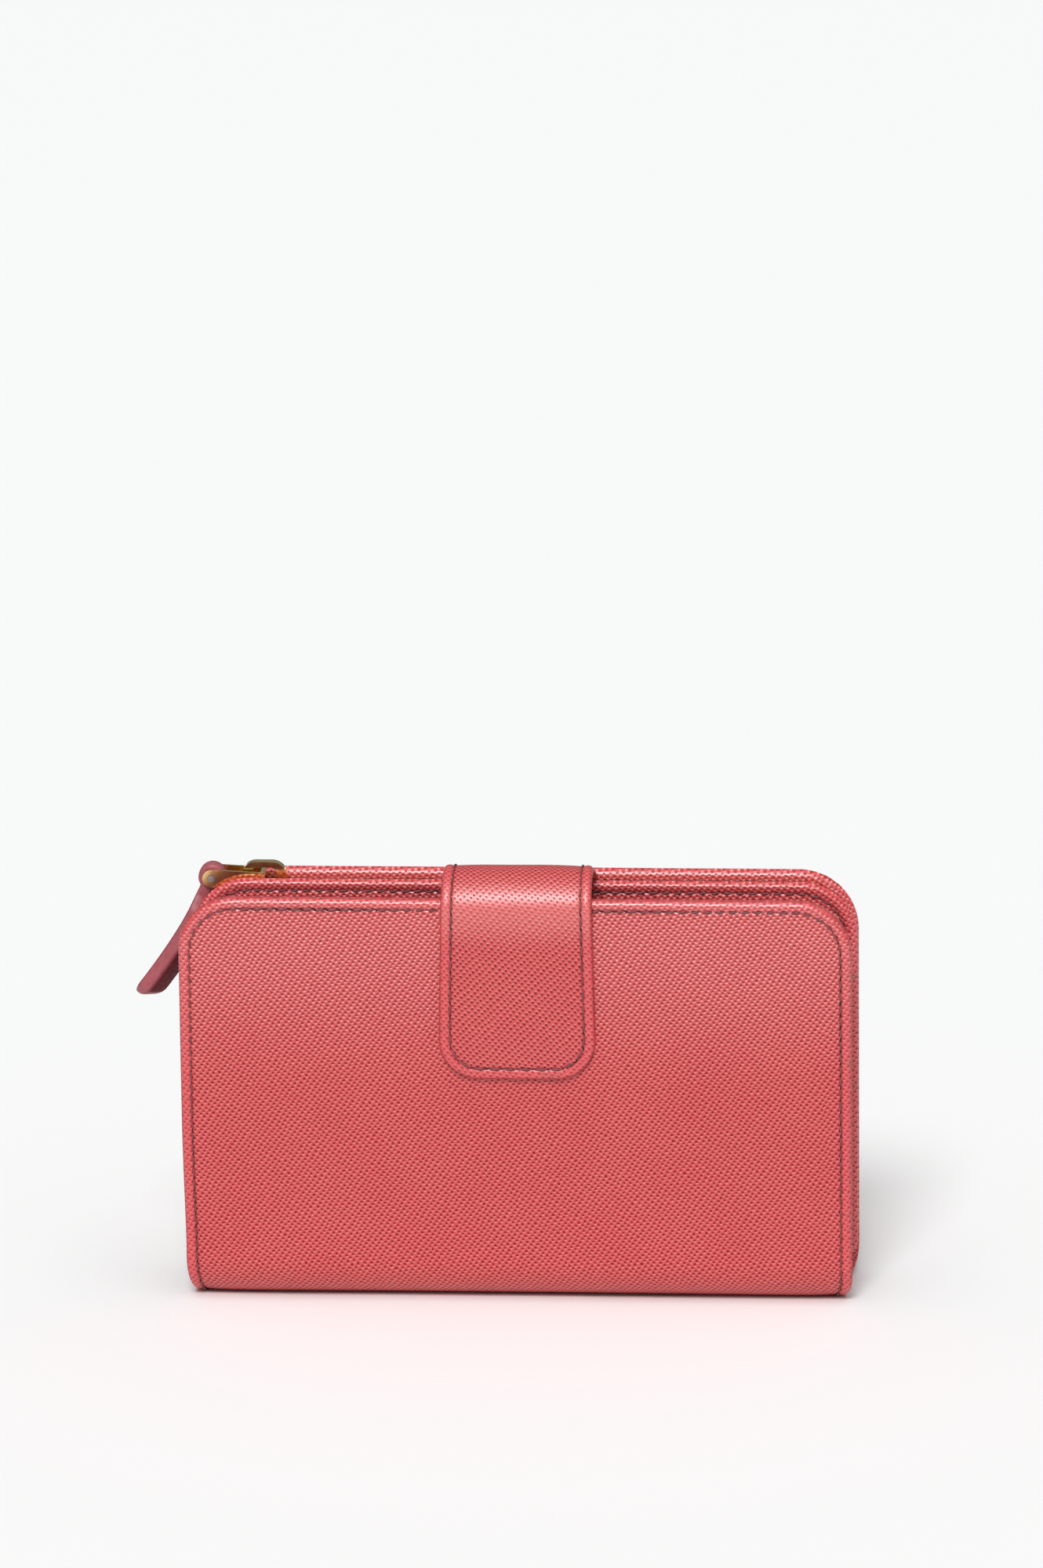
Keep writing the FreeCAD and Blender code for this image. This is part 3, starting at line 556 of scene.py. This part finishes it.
def metal(name, base_colour, rough, scratch=0.08):
    """Polished metal whose roughness varies a little, by scratch at most."""
    material, tree, shader = new_material(name)
    graph = Graph(tree)
    place = graph.put("ShaderNodeTexCoord").outputs["Object"]
    cloud = graph.noise(place, 500.0, 3.0)
    shader.inputs["Base Color"].default_value = base_colour
    shader.inputs["Metallic"].default_value = 1.0
    graph.feed(shader.inputs["Roughness"], graph.span(cloud, 0.3, 0.7, rough, rough + scratch))
    graph.feed(shader.inputs["Normal"], graph.bump(cloud, 0.00001, 0.5))
    return material


def thread_material(name, base_colour, dark_colour):
    """Twisted thread."""
    material, tree, shader = new_material(name)
    graph = Graph(tree)
    place = graph.put("ShaderNodeTexCoord").outputs["Object"]
    twist = graph.put("ShaderNodeTexWave", wave_type="BANDS", bands_direction="DIAGONAL")
    graph.feed(twist.inputs["Vector"], place)
    twist.inputs["Scale"].default_value = 1400.0
    twist.inputs["Distortion"].default_value = 2.0
    tone = graph.mix(graph.noise(place, 700.0, 2.0), dark_colour, base_colour)
    graph.feed(shader.inputs["Base Color"], tone)
    shader.inputs["Roughness"].default_value = 0.55
    graph.feed(shader.inputs["Normal"], graph.bump(twist.outputs["Fac"], 0.00005))
    return material


# Scuffed places (u, v, radius), in millimetres along the leather.
COVER_WEAR = [(66.5, LEAF_TOP - 1.6, 2.2), (70.0, LEAF_TOP - 4.6, 1.8), (71.4, 30.0, 2.0), (70.8, 17.0, 2.6)]
TAB_WEAR = [(8.0, tab_route.length - 0.9, 3.4), (-10.5, tab_route.length - 2.0, 1.8)]
MATERIALS = {
    "cover": grain_leather("leather_cover", GRAIN_COVER, 0.62, spots=COVER_WEAR),
    "panel": grain_leather("leather_panel", GRAIN_COVER, 0.80, painted_edge=False),
    "tab": grain_leather(
        "leather_tab", GRAIN_TAB, 0.62, spots=TAB_WEAR, coat_ior=1.9, coat_rough=0.43, bend=tab_route.length - 37.8
    ),
    "pocket": plain_leather(
        "leather_pocket", colour(0.52, 0.085, 0.095), colour(0.34, 0.05, 0.06), 0.48, 0.00006, 1400.0
    ),
    "pull": plain_leather("leather_pull", colour(0.46, 0.11, 0.13), colour(0.29, 0.06, 0.075), 0.45),
    "lining": woven("cloth_lining", colour(0.26, 0.05, 0.07), colour(0.13, 0.025, 0.035), 0.0006),
    "tape": woven("zip_tape", colour(0.33, 0.05, 0.07), colour(0.15, 0.02, 0.03), 0.0005),
    "board": plain_leather("fibre_board", colour(0.26, 0.06, 0.06), colour(0.17, 0.04, 0.04), 0.85),
    "thread": thread_material("thread", colour(0.30, 0.10, 0.115), colour(0.15, 0.045, 0.05)),
    "pull_face": plain_leather(
        "leather_pull_face", colour(0.34, 0.06, 0.078), colour(0.13, 0.018, 0.025), 0.62, 0.00014, 1100.0, 0.2
    ),
    # Dark discs in the needle holes: painted shade inside the holes.
    "hole_shade": plain_leather("painted_needle_hole_shade", colour(0.09, 0.012, 0.016), colour(0.05, 0.008, 0.01), 0.8),
    "brass": metal("polished_brass", colour(1.0, 0.80, 0.36), 0.15, 0.05),
    "steel": metal("polished_steel", colour(0.70, 0.69, 0.67), 0.20),
}


def wear(obj, key):
    """Gives a piece its one material."""
    obj.data.materials.clear()
    obj.data.materials.append(MATERIALS[key])
    return obj


# ---------------------------------------------------------------- the leather panels
def unrest(u, v, seed, size=26.0, reach=0.22):
    """The slow unevenness of a hand-worked panel, in millimetres."""
    return reach * noise.noise(Vector((u / size, v / size, seed)))


def cover_edge(v):
    """How far the left and right sides of the cover and the back draw in towards the fold."""
    low = FLAT_HALF + FOLD_ARC + 32.0 - v
    left = 0.5 * smooth_step(0.0, 34.0, low) + 1.3 * smooth_step(28.0, 46.0, low) ** 2
    right = 1.5 * smooth_step(33.0, 46.0, low) ** 2
    return left, right


def leaf_thick(board):
    """Leather alone round the fold, leather and board above it."""
    start = FLAT_HALF + FOLD_ARC

    def thick(v):
        return SKIN + (board - SKIN) * smooth_step(start - 1.0, start + 4.0, v)

    return thick


fold_rows = tuple(spread(FLAT_HALF, FLAT_HALF + FOLD_ARC, 0.8))


def cover_sculpt(u, v, d):
    """The cover bellies a little above the fold, and its underside bows up a little in the middle."""
    upright = smooth_step(FLAT_HALF + 2, FLAT_HALF + FOLD_ARC, v)
    bow = -0.25 * (1 - (u / 72) ** 2) * (1 - upright)
    return bow + upright * (0.30 * smooth_step(0.0, 26.0, d) + unrest(u, v, 1.7))


cover_outline = Outline(72.5, 0.0, LEAF_TOP, CORNER, edge=cover_edge)
cover_skin = leather_sheet(
    "cover_skin", cover_outline, cover_route, leaf_thick(2.7), cover_sculpt, fold_rows
)
wear(cover_skin, "cover")

BLOCK_X = (middle_low.x + middle_high.x) / 2 + 0.25
BLOCK_HALF = 72.15


def pleats(outline, seed, reach=0.20):
    """Small gathers where the leather is turned over round a corner."""

    def sculpt(u, v, d):
        corner_v = outline.end - outline.radius
        side = outline.half - outline.radius - abs(u - outline.centre)
        upright = smooth_step(FLAT_HALF + 2, FLAT_HALF + FOLD_ARC, v) if outline.end > LEAF_TOP else 1.0
        swell = upright * (0.15 * smooth_step(0.0, 24.0, d) + unrest(u, v, seed))
        if v < corner_v or side > 0:
            return swell
        around = math.atan2(v - corner_v, -side)
        middle = math.exp(-(((around - 0.8) / 0.45) ** 2))
        fade = 1 - smooth_step(1.2, 3.0, d)
        return swell + reach * middle * fade * math.sin(around * 31 + 1.5 * math.sin(around * 9))

    return sculpt


BACK_RISE = 0.35  # the back panel stands slightly above the other two
back_outline = Outline(BLOCK_HALF, BLOCK_X, LEAF_TOP + BACK_RISE, CORNER + 1, edge=cover_edge)
back_skin = leather_sheet(
    "back_skin", back_outline, back_route, leaf_thick(3.2), pleats(back_outline, 4.1), fold_rows
)
wear(back_skin, "panel")

FOOT_CORNER = 4.0


def middle_edge(v):
    """The middle panel's two lower corners are rounded a little."""
    inset = FOOT_CORNER - math.sqrt(FOOT_CORNER**2 - max(0.0, FOOT_CORNER - v) ** 2)
    return inset, inset


middle_outline = Outline(BLOCK_HALF, BLOCK_X, TOP - PANEL_FOOT, CORNER + 0.5, edge=middle_edge)
middle_skin = leather_sheet(
    "middle_skin", middle_outline, middle_route, 2.0, pleats(middle_outline, 8.3, 0.06), ()
)
wear(middle_skin, "panel")

# ---------------------------------------------------------------- the closing tab
TAB_X = (tab_low.x + tab_high.x) / 2
TAB_HALF, TAB_CORNER, TAB_STEP = 16.5, 8.5, 1.2
TAB_END = tab_route.length
TAB_MIDDLE = ROOT_RISE + ROOT_BEND * math.radians(90 - BACK_SLOPE) + BACK_RUN * 0.62


def tab_edge(v):
    """The tab is a little wider at its free end than where it crosses the top."""
    spread_here = 0.35 - 0.75 * smooth_step(30.0, TAB_END, v)
    return spread_here, spread_here


def tab_sculpt(u, v, d):
    """The tab is crowned a little."""
    return 0.10 * smooth_step(0.0, 10.0, d) + unrest(u, v, 2.9, 14.0, 0.10)


tab_rows = spread(ROOT_RISE, TAB_END - FRONT_DROP, 0.45)
back_half_tab = Outline(TAB_HALF, TAB_X, TAB_MIDDLE, TAB_CORNER, edge=tab_edge, square=True)
front_half_tab = Outline(TAB_HALF, TAB_X, TAB_END, TAB_CORNER, edge=tab_edge, first=TAB_MIDDLE)
tab_back_skin = leather_sheet(
    "tab_back_skin", back_half_tab, tab_route, TAB_THICK, tab_sculpt,
    [v for v in tab_rows if v < TAB_MIDDLE], TAB_STEP, TAB_PUFF,
)
tab_front_skin = leather_sheet(
    "tab_front_skin", front_half_tab, tab_route, TAB_THICK, tab_sculpt,
    [v for v in tab_rows if v > TAB_MIDDLE], TAB_STEP, TAB_PUFF,
)
wear(tab_back_skin, "tab")
wear(tab_front_skin, "tab")


# ---------------------------------------------------------------- stitching
def seam_path(outline, inset, first, last=None):
    """Points (u, v, direction) along a seam: up the left side, round the end and down the right."""
    radius = outline.radius - inset
    foot, top = outline.end - outline.radius, outline.end - inset
    pieces = []
    last = foot if last is None else last

    def side(v, sign):
        low, high = outline.edge(v)
        half = outline.half - inset
        return outline.centre + sign * half + (low if sign < 0 else -high)

    for v in spread(first, last, 0.25):
        pieces.append((side(v, -1), v))
    if not outline.square and last >= foot:
        left_x, right_x = side(foot, -1) + radius, side(foot, 1) - radius
        for angle in spread(180, 90, 2.0):
            a = math.radians(angle)
            pieces.append((left_x + radius * math.cos(a), foot + radius * math.sin(a)))
        for u in spread(left_x, right_x, 0.25):
            pieces.append((u, top))
        for angle in spread(90, 0, 2.0):
            a = math.radians(angle)
            pieces.append((right_x + radius * math.cos(a), foot + radius * math.sin(a)))
        for v in spread(foot, first, 0.25):
            pieces.append((side(v, 1), v))
        return [pieces]
    return [pieces, [(side(v, 1), v) for _, v in pieces]]


def walk_line(points, pitch):
    """Splits a polyline into stitches of about one pitch: pairs of (u, v) ends."""
    lengths = [0.0]
    for a, b in zip(points, points[1:]):
        lengths.append(lengths[-1] + math.dist(a, b))
    total = lengths[-1]
    count = max(1, round(total / pitch))
    ends, k = [], 0
    for n in range(count + 1):
        goal = total * n / count
        while k < len(lengths) - 2 and lengths[k + 1] < goal:
            k += 1
        span = max(1e-9, lengths[k + 1] - lengths[k])
        share = (goal - lengths[k]) / span
        a, b = points[k], points[k + 1]
        ends.append((a[0] + (b[0] - a[0]) * share, a[1] + (b[1] - a[1]) * share))
    return list(zip(ends, ends[1:]))


def on_leather(route, u, v, height):
    """The point that far above the leather's outer face, in metres."""
    y, z, ny, nz = route.at(v)
    return Vector((u, y - ny * height, z - nz * height)) * MM


STITCH_PITCH, STITCH_RADIUS = 2.68, 0.19
TAB_PITCH, TAB_STITCH_RADIUS = 3.3, 0.18
STITCH_BED, STITCH_RISE, STITCH_SLANT = -0.03, 0.30, 0.15
SHORTEST_STITCH = 0.5
STITCH_SIDES, STITCH_RINGS, HOLE_SHADE_SIDES = 6, 7, 10


def stitch_row(name, route, lines, pitch=STITCH_PITCH, radius=STITCH_RADIUS, depth=None):
    """One mesh of thread and one of dark discs, painted shade in the needle holes, along the given seam lines.
    With a depth the stitches lie on the inner face, that far below the outer one."""
    thread, thread_faces, hole_shade_points, hole_shade_faces = [], [], [], []
    sides, rings, ring = STITCH_SIDES, STITCH_RINGS, HOLE_SHADE_SIDES
    for points in lines:
        for (u0, v0), (u1, v1) in walk_line(points, pitch):
            along = Vector((u1 - u0, v1 - v0))
            length = along.length
            if length < SHORTEST_STITCH:
                continue
            along.normalize()
            across = Vector((-along.y, along.x))
            lean = STITCH_SLANT * random.uniform(0.6, 1.3)
            start = len(thread)
            for r in range(rings):
                t = r / (rings - 1)
                run = 0.15 + 0.70 * t
                sway = (t - 0.5) * 2 * lean
                lift = STITCH_BED + STITCH_RISE * math.sin(math.pi * t) ** 0.6
                swell = radius * (0.55 + 0.45 * math.sin(math.pi * t) ** 0.5)
                cu = u0 + along.x * length * run + across.x * sway
                cv = v0 + along.y * length * run + across.y * sway
                for s in range(sides):
                    a = 2 * math.pi * s / sides
                    w = swell * math.cos(a)
                    height = lift + swell * math.sin(a)
                    if depth is not None:
                        height = -depth - height
                    thread.append(on_leather(route, cu + across.x * w, cv + across.y * w, height))
            thread_faces += tube_faces(start, rings, sides)
            thread_faces.append([start + s for s in reversed(range(sides))])
            thread_faces.append([start + (rings - 1) * sides + s for s in range(sides)])
            # A dark disc in the needle hole: painted shade inside it.
            centre = len(hole_shade_points)
            turn = random.uniform(0.45, 0.75)
            main = along * math.cos(turn) - across * math.sin(turn)
            cross = Vector((-main.y, main.x))
            long_reach, short_reach = random.uniform(0.62, 0.86), random.uniform(0.24, 0.32)
            low, lower = (-0.04, -0.12) if depth is None else (-depth - 0.03, -depth + 0.04)
            hole_shade_points.append(on_leather(route, u0, v0, low))
            for s in range(ring):
                a = 2 * math.pi * s / ring
                w, h = long_reach * math.cos(a), short_reach * math.sin(a)
                hole_shade_points.append(on_leather(route, u0 + main.x * w + cross.x * h, v0 + main.y * w + cross.y * h, lower))
            for s in range(ring):
                hole_shade_faces.append([centre, centre + 1 + s, centre + 1 + (s + 1) % ring])
    stitches = wear(mesh_object(name + "_stitches", thread, thread_faces), "thread")
    hole_shade_discs = wear(mesh_object(name + "_needle_hole_shades", hole_shade_points, hole_shade_faces), "hole_shade")
    return [stitches, hole_shade_discs]


SEAM_FOOT = 2.5
cover_seam = seam_path(cover_outline, SEAM_INSET, SEAM_FOOT)
back_seam = seam_path(back_outline, SEAM_INSET, SEAM_FOOT)
middle_seam = seam_path(middle_outline, SEAM_INSET, 1.0)
leaf_seam_foot = FLAT_HALF + FOLD_ARC + 6.0
cover_thread = stitch_row("cover", cover_route, cover_seam)
back_thread = stitch_row("back", back_route, back_seam)
middle_thread = stitch_row("middle", middle_route, middle_seam)
cover_inner_thread = stitch_row(
    "cover_inner", cover_route, seam_path(cover_outline, SEAM_INSET, leaf_seam_foot), depth=3.3
)
back_inner_thread = stitch_row(
    "back_inner", back_route, seam_path(back_outline, SEAM_INSET, leaf_seam_foot), depth=3.2
)
middle_inner_thread = stitch_row("middle_inner", middle_route, middle_seam, depth=2.0)
tab_front_seam = seam_path(front_half_tab, SEAM_INSET, TAB_MIDDLE + 0.1)
tab_front_thread = stitch_row("tab_front", tab_route, tab_front_seam, TAB_PITCH, TAB_STITCH_RADIUS)
tab_back_seam = seam_path(back_half_tab, SEAM_INSET, ROOT_RISE + 1, TAB_MIDDLE)
tab_back_thread = stitch_row("tab_back", tab_route, tab_back_seam, TAB_PITCH, TAB_STITCH_RADIUS)


# ---------------------------------------------------------------- leather zip pull
def pull_piece():
    """A strip folded round the pin: a loop, a neck, and a doubled tail with rounded edges and tip."""
    pin_low, pin_high = box_mm("link_pin")
    centre = (pin_low + pin_high) / 2
    strap_low, _ = box_mm("pull_strap")
    lean = math.atan2(centre.x - strap_low.x - 1.0, centre.z - strap_low.z - 1.0)
    down = Vector((-math.sin(lean), 0, -math.cos(lean)))
    side = Vector((-math.cos(lean), 0, math.sin(lean)))
    deep = Vector((0, 1, 0))
    length, ring = 31.0, 28
    tip_round, tip_thin = 3.4, 2.8  # how far from the tip it narrows and thins
    vertices = []

    def section(t):
        """(half thickness, half width, drift, twist) at distance t below the pin."""
        half = 1.40 + 0.30 * smooth_step(5.0, 16.0, t)
        wide = 2.0 + 2.25 * smooth_step(4.2, 8.6, t)
        to_tip = length - t
        if to_tip < tip_round:
            wide *= math.sqrt(max(0.0, 1 - ((tip_round - to_tip) / tip_round) ** 2)) * 0.88 + 0.12
        if to_tip < tip_thin:
            half *= math.sqrt(max(0.02, 1 - ((tip_thin - to_tip) / tip_thin) ** 2))
        twist = math.radians(25) * smooth_step(3.0, 15.0, t)
        drift = -0.85 * math.sin(t / length * math.pi) - wide * math.sin(twist)
        return half, wide, drift, twist

    stations = spread(1.4, length - 3.4, 0.6) + spread(length - 3.3, length, 0.16)
    for t in stations:
        half, wide, drift, twist = section(t)
        flat = side * math.cos(twist) + deep * math.sin(twist)
        edge_on = deep * math.cos(twist) - side * math.sin(twist)
        for s in range(ring):
            a = 2 * math.pi * s / ring
            flat_x = squared(math.cos(a), 0.45) * half
            flat_y = squared(math.sin(a), 0.28) * wide
            vertices.append((centre + down * t + side * drift + flat * flat_x + edge_on * flat_y) * MM)
    faces = tube_faces(0, len(stations), ring)
    faces.append(list(range(ring)))
    faces.append([(len(stations) - 1) * ring + s for s in reversed(range(ring))])
    base, turns, loop_ring = len(vertices), 40, 12
    loop_radius, loop_half_width = 2.0, 2.0
    for k in range(turns):
        a = 2 * math.pi * k / turns
        out = side * math.cos(a) + down * math.sin(a)
        for s in range(loop_ring):
            b = 2 * math.pi * s / loop_ring
            radial = loop_radius + squared(math.cos(b), 0.5)
            flat_y = squared(math.sin(b), 0.3) * loop_half_width
            vertices.append((centre + out * radial + deep * flat_y) * MM)
    faces += tube_faces(base, turns, loop_ring, closed=True)
    obj = mesh_object("pull_leather_strip", vertices, faces)
    tidy_mesh(obj)
    wear(obj, "pull")
    obj.data.materials.append(MATERIALS["pull_face"])
    reach = (length - 2.0) * MM
    for polygon in obj.data.polygons:
        below = (polygon.center - centre * MM).dot(down)
        if abs(polygon.normal.dot(side)) > 0.80 and 0.006 < below < reach:
            polygon.material_index = 1
    return obj


pull_strip = pull_piece()


# ---------------------------------------------------------------- zip teeth
TOOTH_PITCH, TOOTH_HALF, TOOTH_HALF_HEIGHT = 2.2, 0.48, 0.5
# A tooth's sections (reach past the zip's middle, share of its size), and the corners of each.
TOOTH_SECTIONS = [(-2.1, 0.75), (-1.5, 1.0), (-0.5, 1.0), (0.15, 0.85), (0.42, 0.45)]
TOOTH_CORNERS = [(-1, -0.7), (-0.7, -1), (0.7, -1), (1, -0.7), (1, 0.7), (0.7, 1), (-0.7, 1), (-1, 0.7)]


def zip_row(name, node, turned):
    """Interlocking teeth: each is a small rounded block with a nose that reaches past the middle."""
    low, high = box_mm(node)
    middle_y, middle_z = box_mm("slider_bridge")[0].y + 1.2, (low.z + high.z) / 2
    sign, shift = (-1, TOOTH_PITCH / 2) if turned else (1, 0.0)
    sides, sections = len(TOOTH_CORNERS), len(TOOTH_SECTIONS)
    vertices, faces = [], []
    for k in range(int((high.x - low.x) / TOOTH_PITCH)):
        x = low.x + 1.0 + k * TOOTH_PITCH + shift
        if x > high.x - 0.6:
            break
        start = len(vertices)
        for reach, share in TOOTH_SECTIONS:
            for dx, dz in TOOTH_CORNERS:
                out, rise = dx * TOOTH_HALF * share, dz * TOOTH_HALF_HEIGHT * share
                vertices.append(Vector((x + out, middle_y + sign * reach, middle_z + rise)) * MM)
        faces += tube_faces(start, sections, sides)
        faces.append([start + s for s in range(sides)])
        faces.append([start + sides * (sections - 1) + s for s in reversed(range(sides))])
    obj = mesh_object(name, vertices, faces, smooth=False)
    tidy_mesh(obj)
    return wear(obj, "brass")


front_teeth = zip_row("zip_teeth_front_row", "zip_teeth_front", False)
back_teeth = zip_row("zip_teeth_back_row", "zip_teeth_back", True)

# ---------------------------------------------------------------- finishes of the CAD pieces
FINISH = {
    "pocket": ["cover_slip_pocket", "block_slip_pocket"]
    + [f"{side}_card_pocket_{k}" for side in ("cover", "block") for k in range(1, 5)],
    "lining": ["cover_lining", "spine_lining", "pocket_lining_front", "pocket_lining_back",
               "gusset_left", "gusset_right", "gusset_bottom"],
    "board": ["spine_board"],
    "tape": ["zip_tape_front", "zip_tape_back"],
    "brass": ["slider_body", "slider_bridge", "pull_link", "zip_stop_left", "zip_stop_right"],
    "steel": ["link_pin", "cover_keeper", "tab_magnet"],
}
for key, names in FINISH.items():
    for node_name in names:
        wear(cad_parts[node_name], key)
for node_name, width in (("slider_body", 0.0002), ("slider_bridge", 0.00035), ("pull_link", 0.00022),
                         ("link_pin", 0.0002)):
    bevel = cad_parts[node_name].modifiers.new("soft_edges", "BEVEL")
    bevel.width, bevel.segments, bevel.limit_method = width, 3, "ANGLE"


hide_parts("cover_leather", "spine_leather", "cover_board")
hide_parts("back_leather", "back_board")
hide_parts("middle_leather", "middle_board")
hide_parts("tab_front_leather", "tab_bridge_leather", "tab_front_lining", "tab_bridge_lining")
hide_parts("tab_root")
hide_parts("cover_seam")
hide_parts("back_seam")
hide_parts("middle_seam")
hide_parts("tab_seam")
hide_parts("pull_strap")
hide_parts("zip_teeth_front")
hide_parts("zip_teeth_back")

for piece in [cover_skin] + cover_thread:
    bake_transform(piece)
for piece in [back_skin] + back_thread:
    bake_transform(piece)
for piece in [tab_back_skin] + tab_back_thread:
    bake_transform(piece)
for piece in [tab_front_skin] + tab_front_thread:
    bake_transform(piece)
for piece, body in (
    [(p, "cover") for p in cover_inner_thread]
    + [(p, "zip_block") for p in back_inner_thread + middle_thread + middle_inner_thread]
    + [(p, "zip_block") for p in (middle_skin, front_teeth, back_teeth)]
    + [(pull_strip, "pull")]
):
    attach(piece, body)

# ---------------------------------------------------------------- floor, light and camera
floor_mesh = bpy.data.meshes.new("floor")
REACH, FLOOR_DROP = 4.0, 0.0002
floor_corners = [(-REACH, -REACH, 0), (REACH, -REACH, 0), (REACH, REACH, 0), (-REACH, REACH, 0)]
floor_mesh.from_pydata(floor_corners, [], [(0, 1, 2, 3)])
floor = bpy.data.objects.new("floor", floor_mesh)
bpy.context.scene.collection.objects.link(floor)
floor.location.z = -FLOOR_DROP
paper, _, paper_shader = new_material("pale_floor")
paper_shader.inputs["Base Color"].default_value = colour(0.925, 0.935, 0.935)
paper_shader.inputs["Roughness"].default_value = 0.9
paper_shader.inputs["Specular IOR Level"].default_value = 0.1
floor_mesh.materials.append(paper)

HORIZON_LIGHT, ZENITH_LIGHT = 0.13, 0.49
world = bpy.data.worlds.new("studio")
bpy.context.scene.world = world
world.use_nodes = True
world.node_tree.nodes["Background"].inputs["Color"].default_value = colour(1.0, 0.995, 0.99)
sky = Graph(world.node_tree)
rise = sky.put("ShaderNodeSeparateXYZ")
sky.feed(rise.inputs[0], sky.put("ShaderNodeTexCoord").outputs["Generated"])
above = sky.math("MAXIMUM", rise.outputs["Z"], 0.0)
glow = sky.math("ADD", HORIZON_LIGHT, sky.math("MULTIPLY", above, ZENITH_LIGHT - HORIZON_LIGHT))
sky.feed(world.node_tree.nodes["Background"].inputs["Strength"], glow)


def direction(azimuth_deg, elevation_deg):
    """Unit vector away from the wallet; azimuth counts from straight in front, positive to the right."""
    turn, rise = math.radians(azimuth_deg), math.radians(elevation_deg)
    return Vector((math.sin(turn) * math.cos(rise), -math.cos(turn) * math.cos(rise), math.sin(rise)))


def sun(name, azimuth_deg, elevation_deg, spread_deg, strength):
    """A soft far light."""
    light = bpy.data.lights.new(name, "SUN")
    light.angle, light.energy = math.radians(spread_deg), strength
    lamp = bpy.data.objects.new(name, light)
    bpy.context.scene.collection.objects.link(lamp)
    lamp.rotation_mode = "QUATERNION"
    lamp.rotation_quaternion = (-direction(azimuth_deg, elevation_deg)).to_track_quat("-Z", "Y")


sun("front_softbox", -5, 46, 20, 2.02)
sun("top_softbox", 8, 78, 50, 0.62)

# The wallet stands in the lower part of a tall picture, seen from 16 degrees up and 4 to the right.
FRAME_HEIGHT = 2000
SCALE = 5.88  # of the frame height's units for each millimetre at the wallet
DISTANCE = 2.0
AZIMUTH, ELEVATION, ROLL = 4.0, 16.0, 0.62
LOOK_UP = 0.1915 * FRAME_HEIGHT / SCALE * MM  # how far the picture's centre is above the target
LOOK_RIGHT = 0.0005
camera_data = bpy.data.cameras.new("camera")
camera = bpy.data.objects.new("camera", camera_data)
bpy.context.scene.collection.objects.link(camera)
bpy.context.scene.camera = camera
camera_data.sensor_width = 36.0
camera_data.lens = SCALE * camera_data.sensor_width / FRAME_HEIGHT * DISTANCE / MM
back = direction(AZIMUTH, ELEVATION)
target = Vector((0.0, -0.002, 0.0455))
camera.location = target + back * DISTANCE
up = Vector((0, 0, 1))
right = (-back).cross(up).normalized()
picture_up = right.cross(-back).normalized()
roll = math.radians(ROLL)
camera_up = picture_up * math.cos(roll) + right * math.sin(roll)
aim = (target + camera_up * LOOK_UP + right * LOOK_RIGHT - camera.location).normalized()
camera_right = aim.cross(camera_up).normalized()
camera_up = camera_right.cross(aim)
camera.rotation_mode = "QUATERNION"
camera.rotation_quaternion = Matrix((camera_right, camera_up, -aim)).transposed().to_quaternion()
camera_data.clip_start, camera_data.clip_end = 0.05, 20.0

scene = bpy.context.scene
scene.view_settings.view_transform = "Standard"
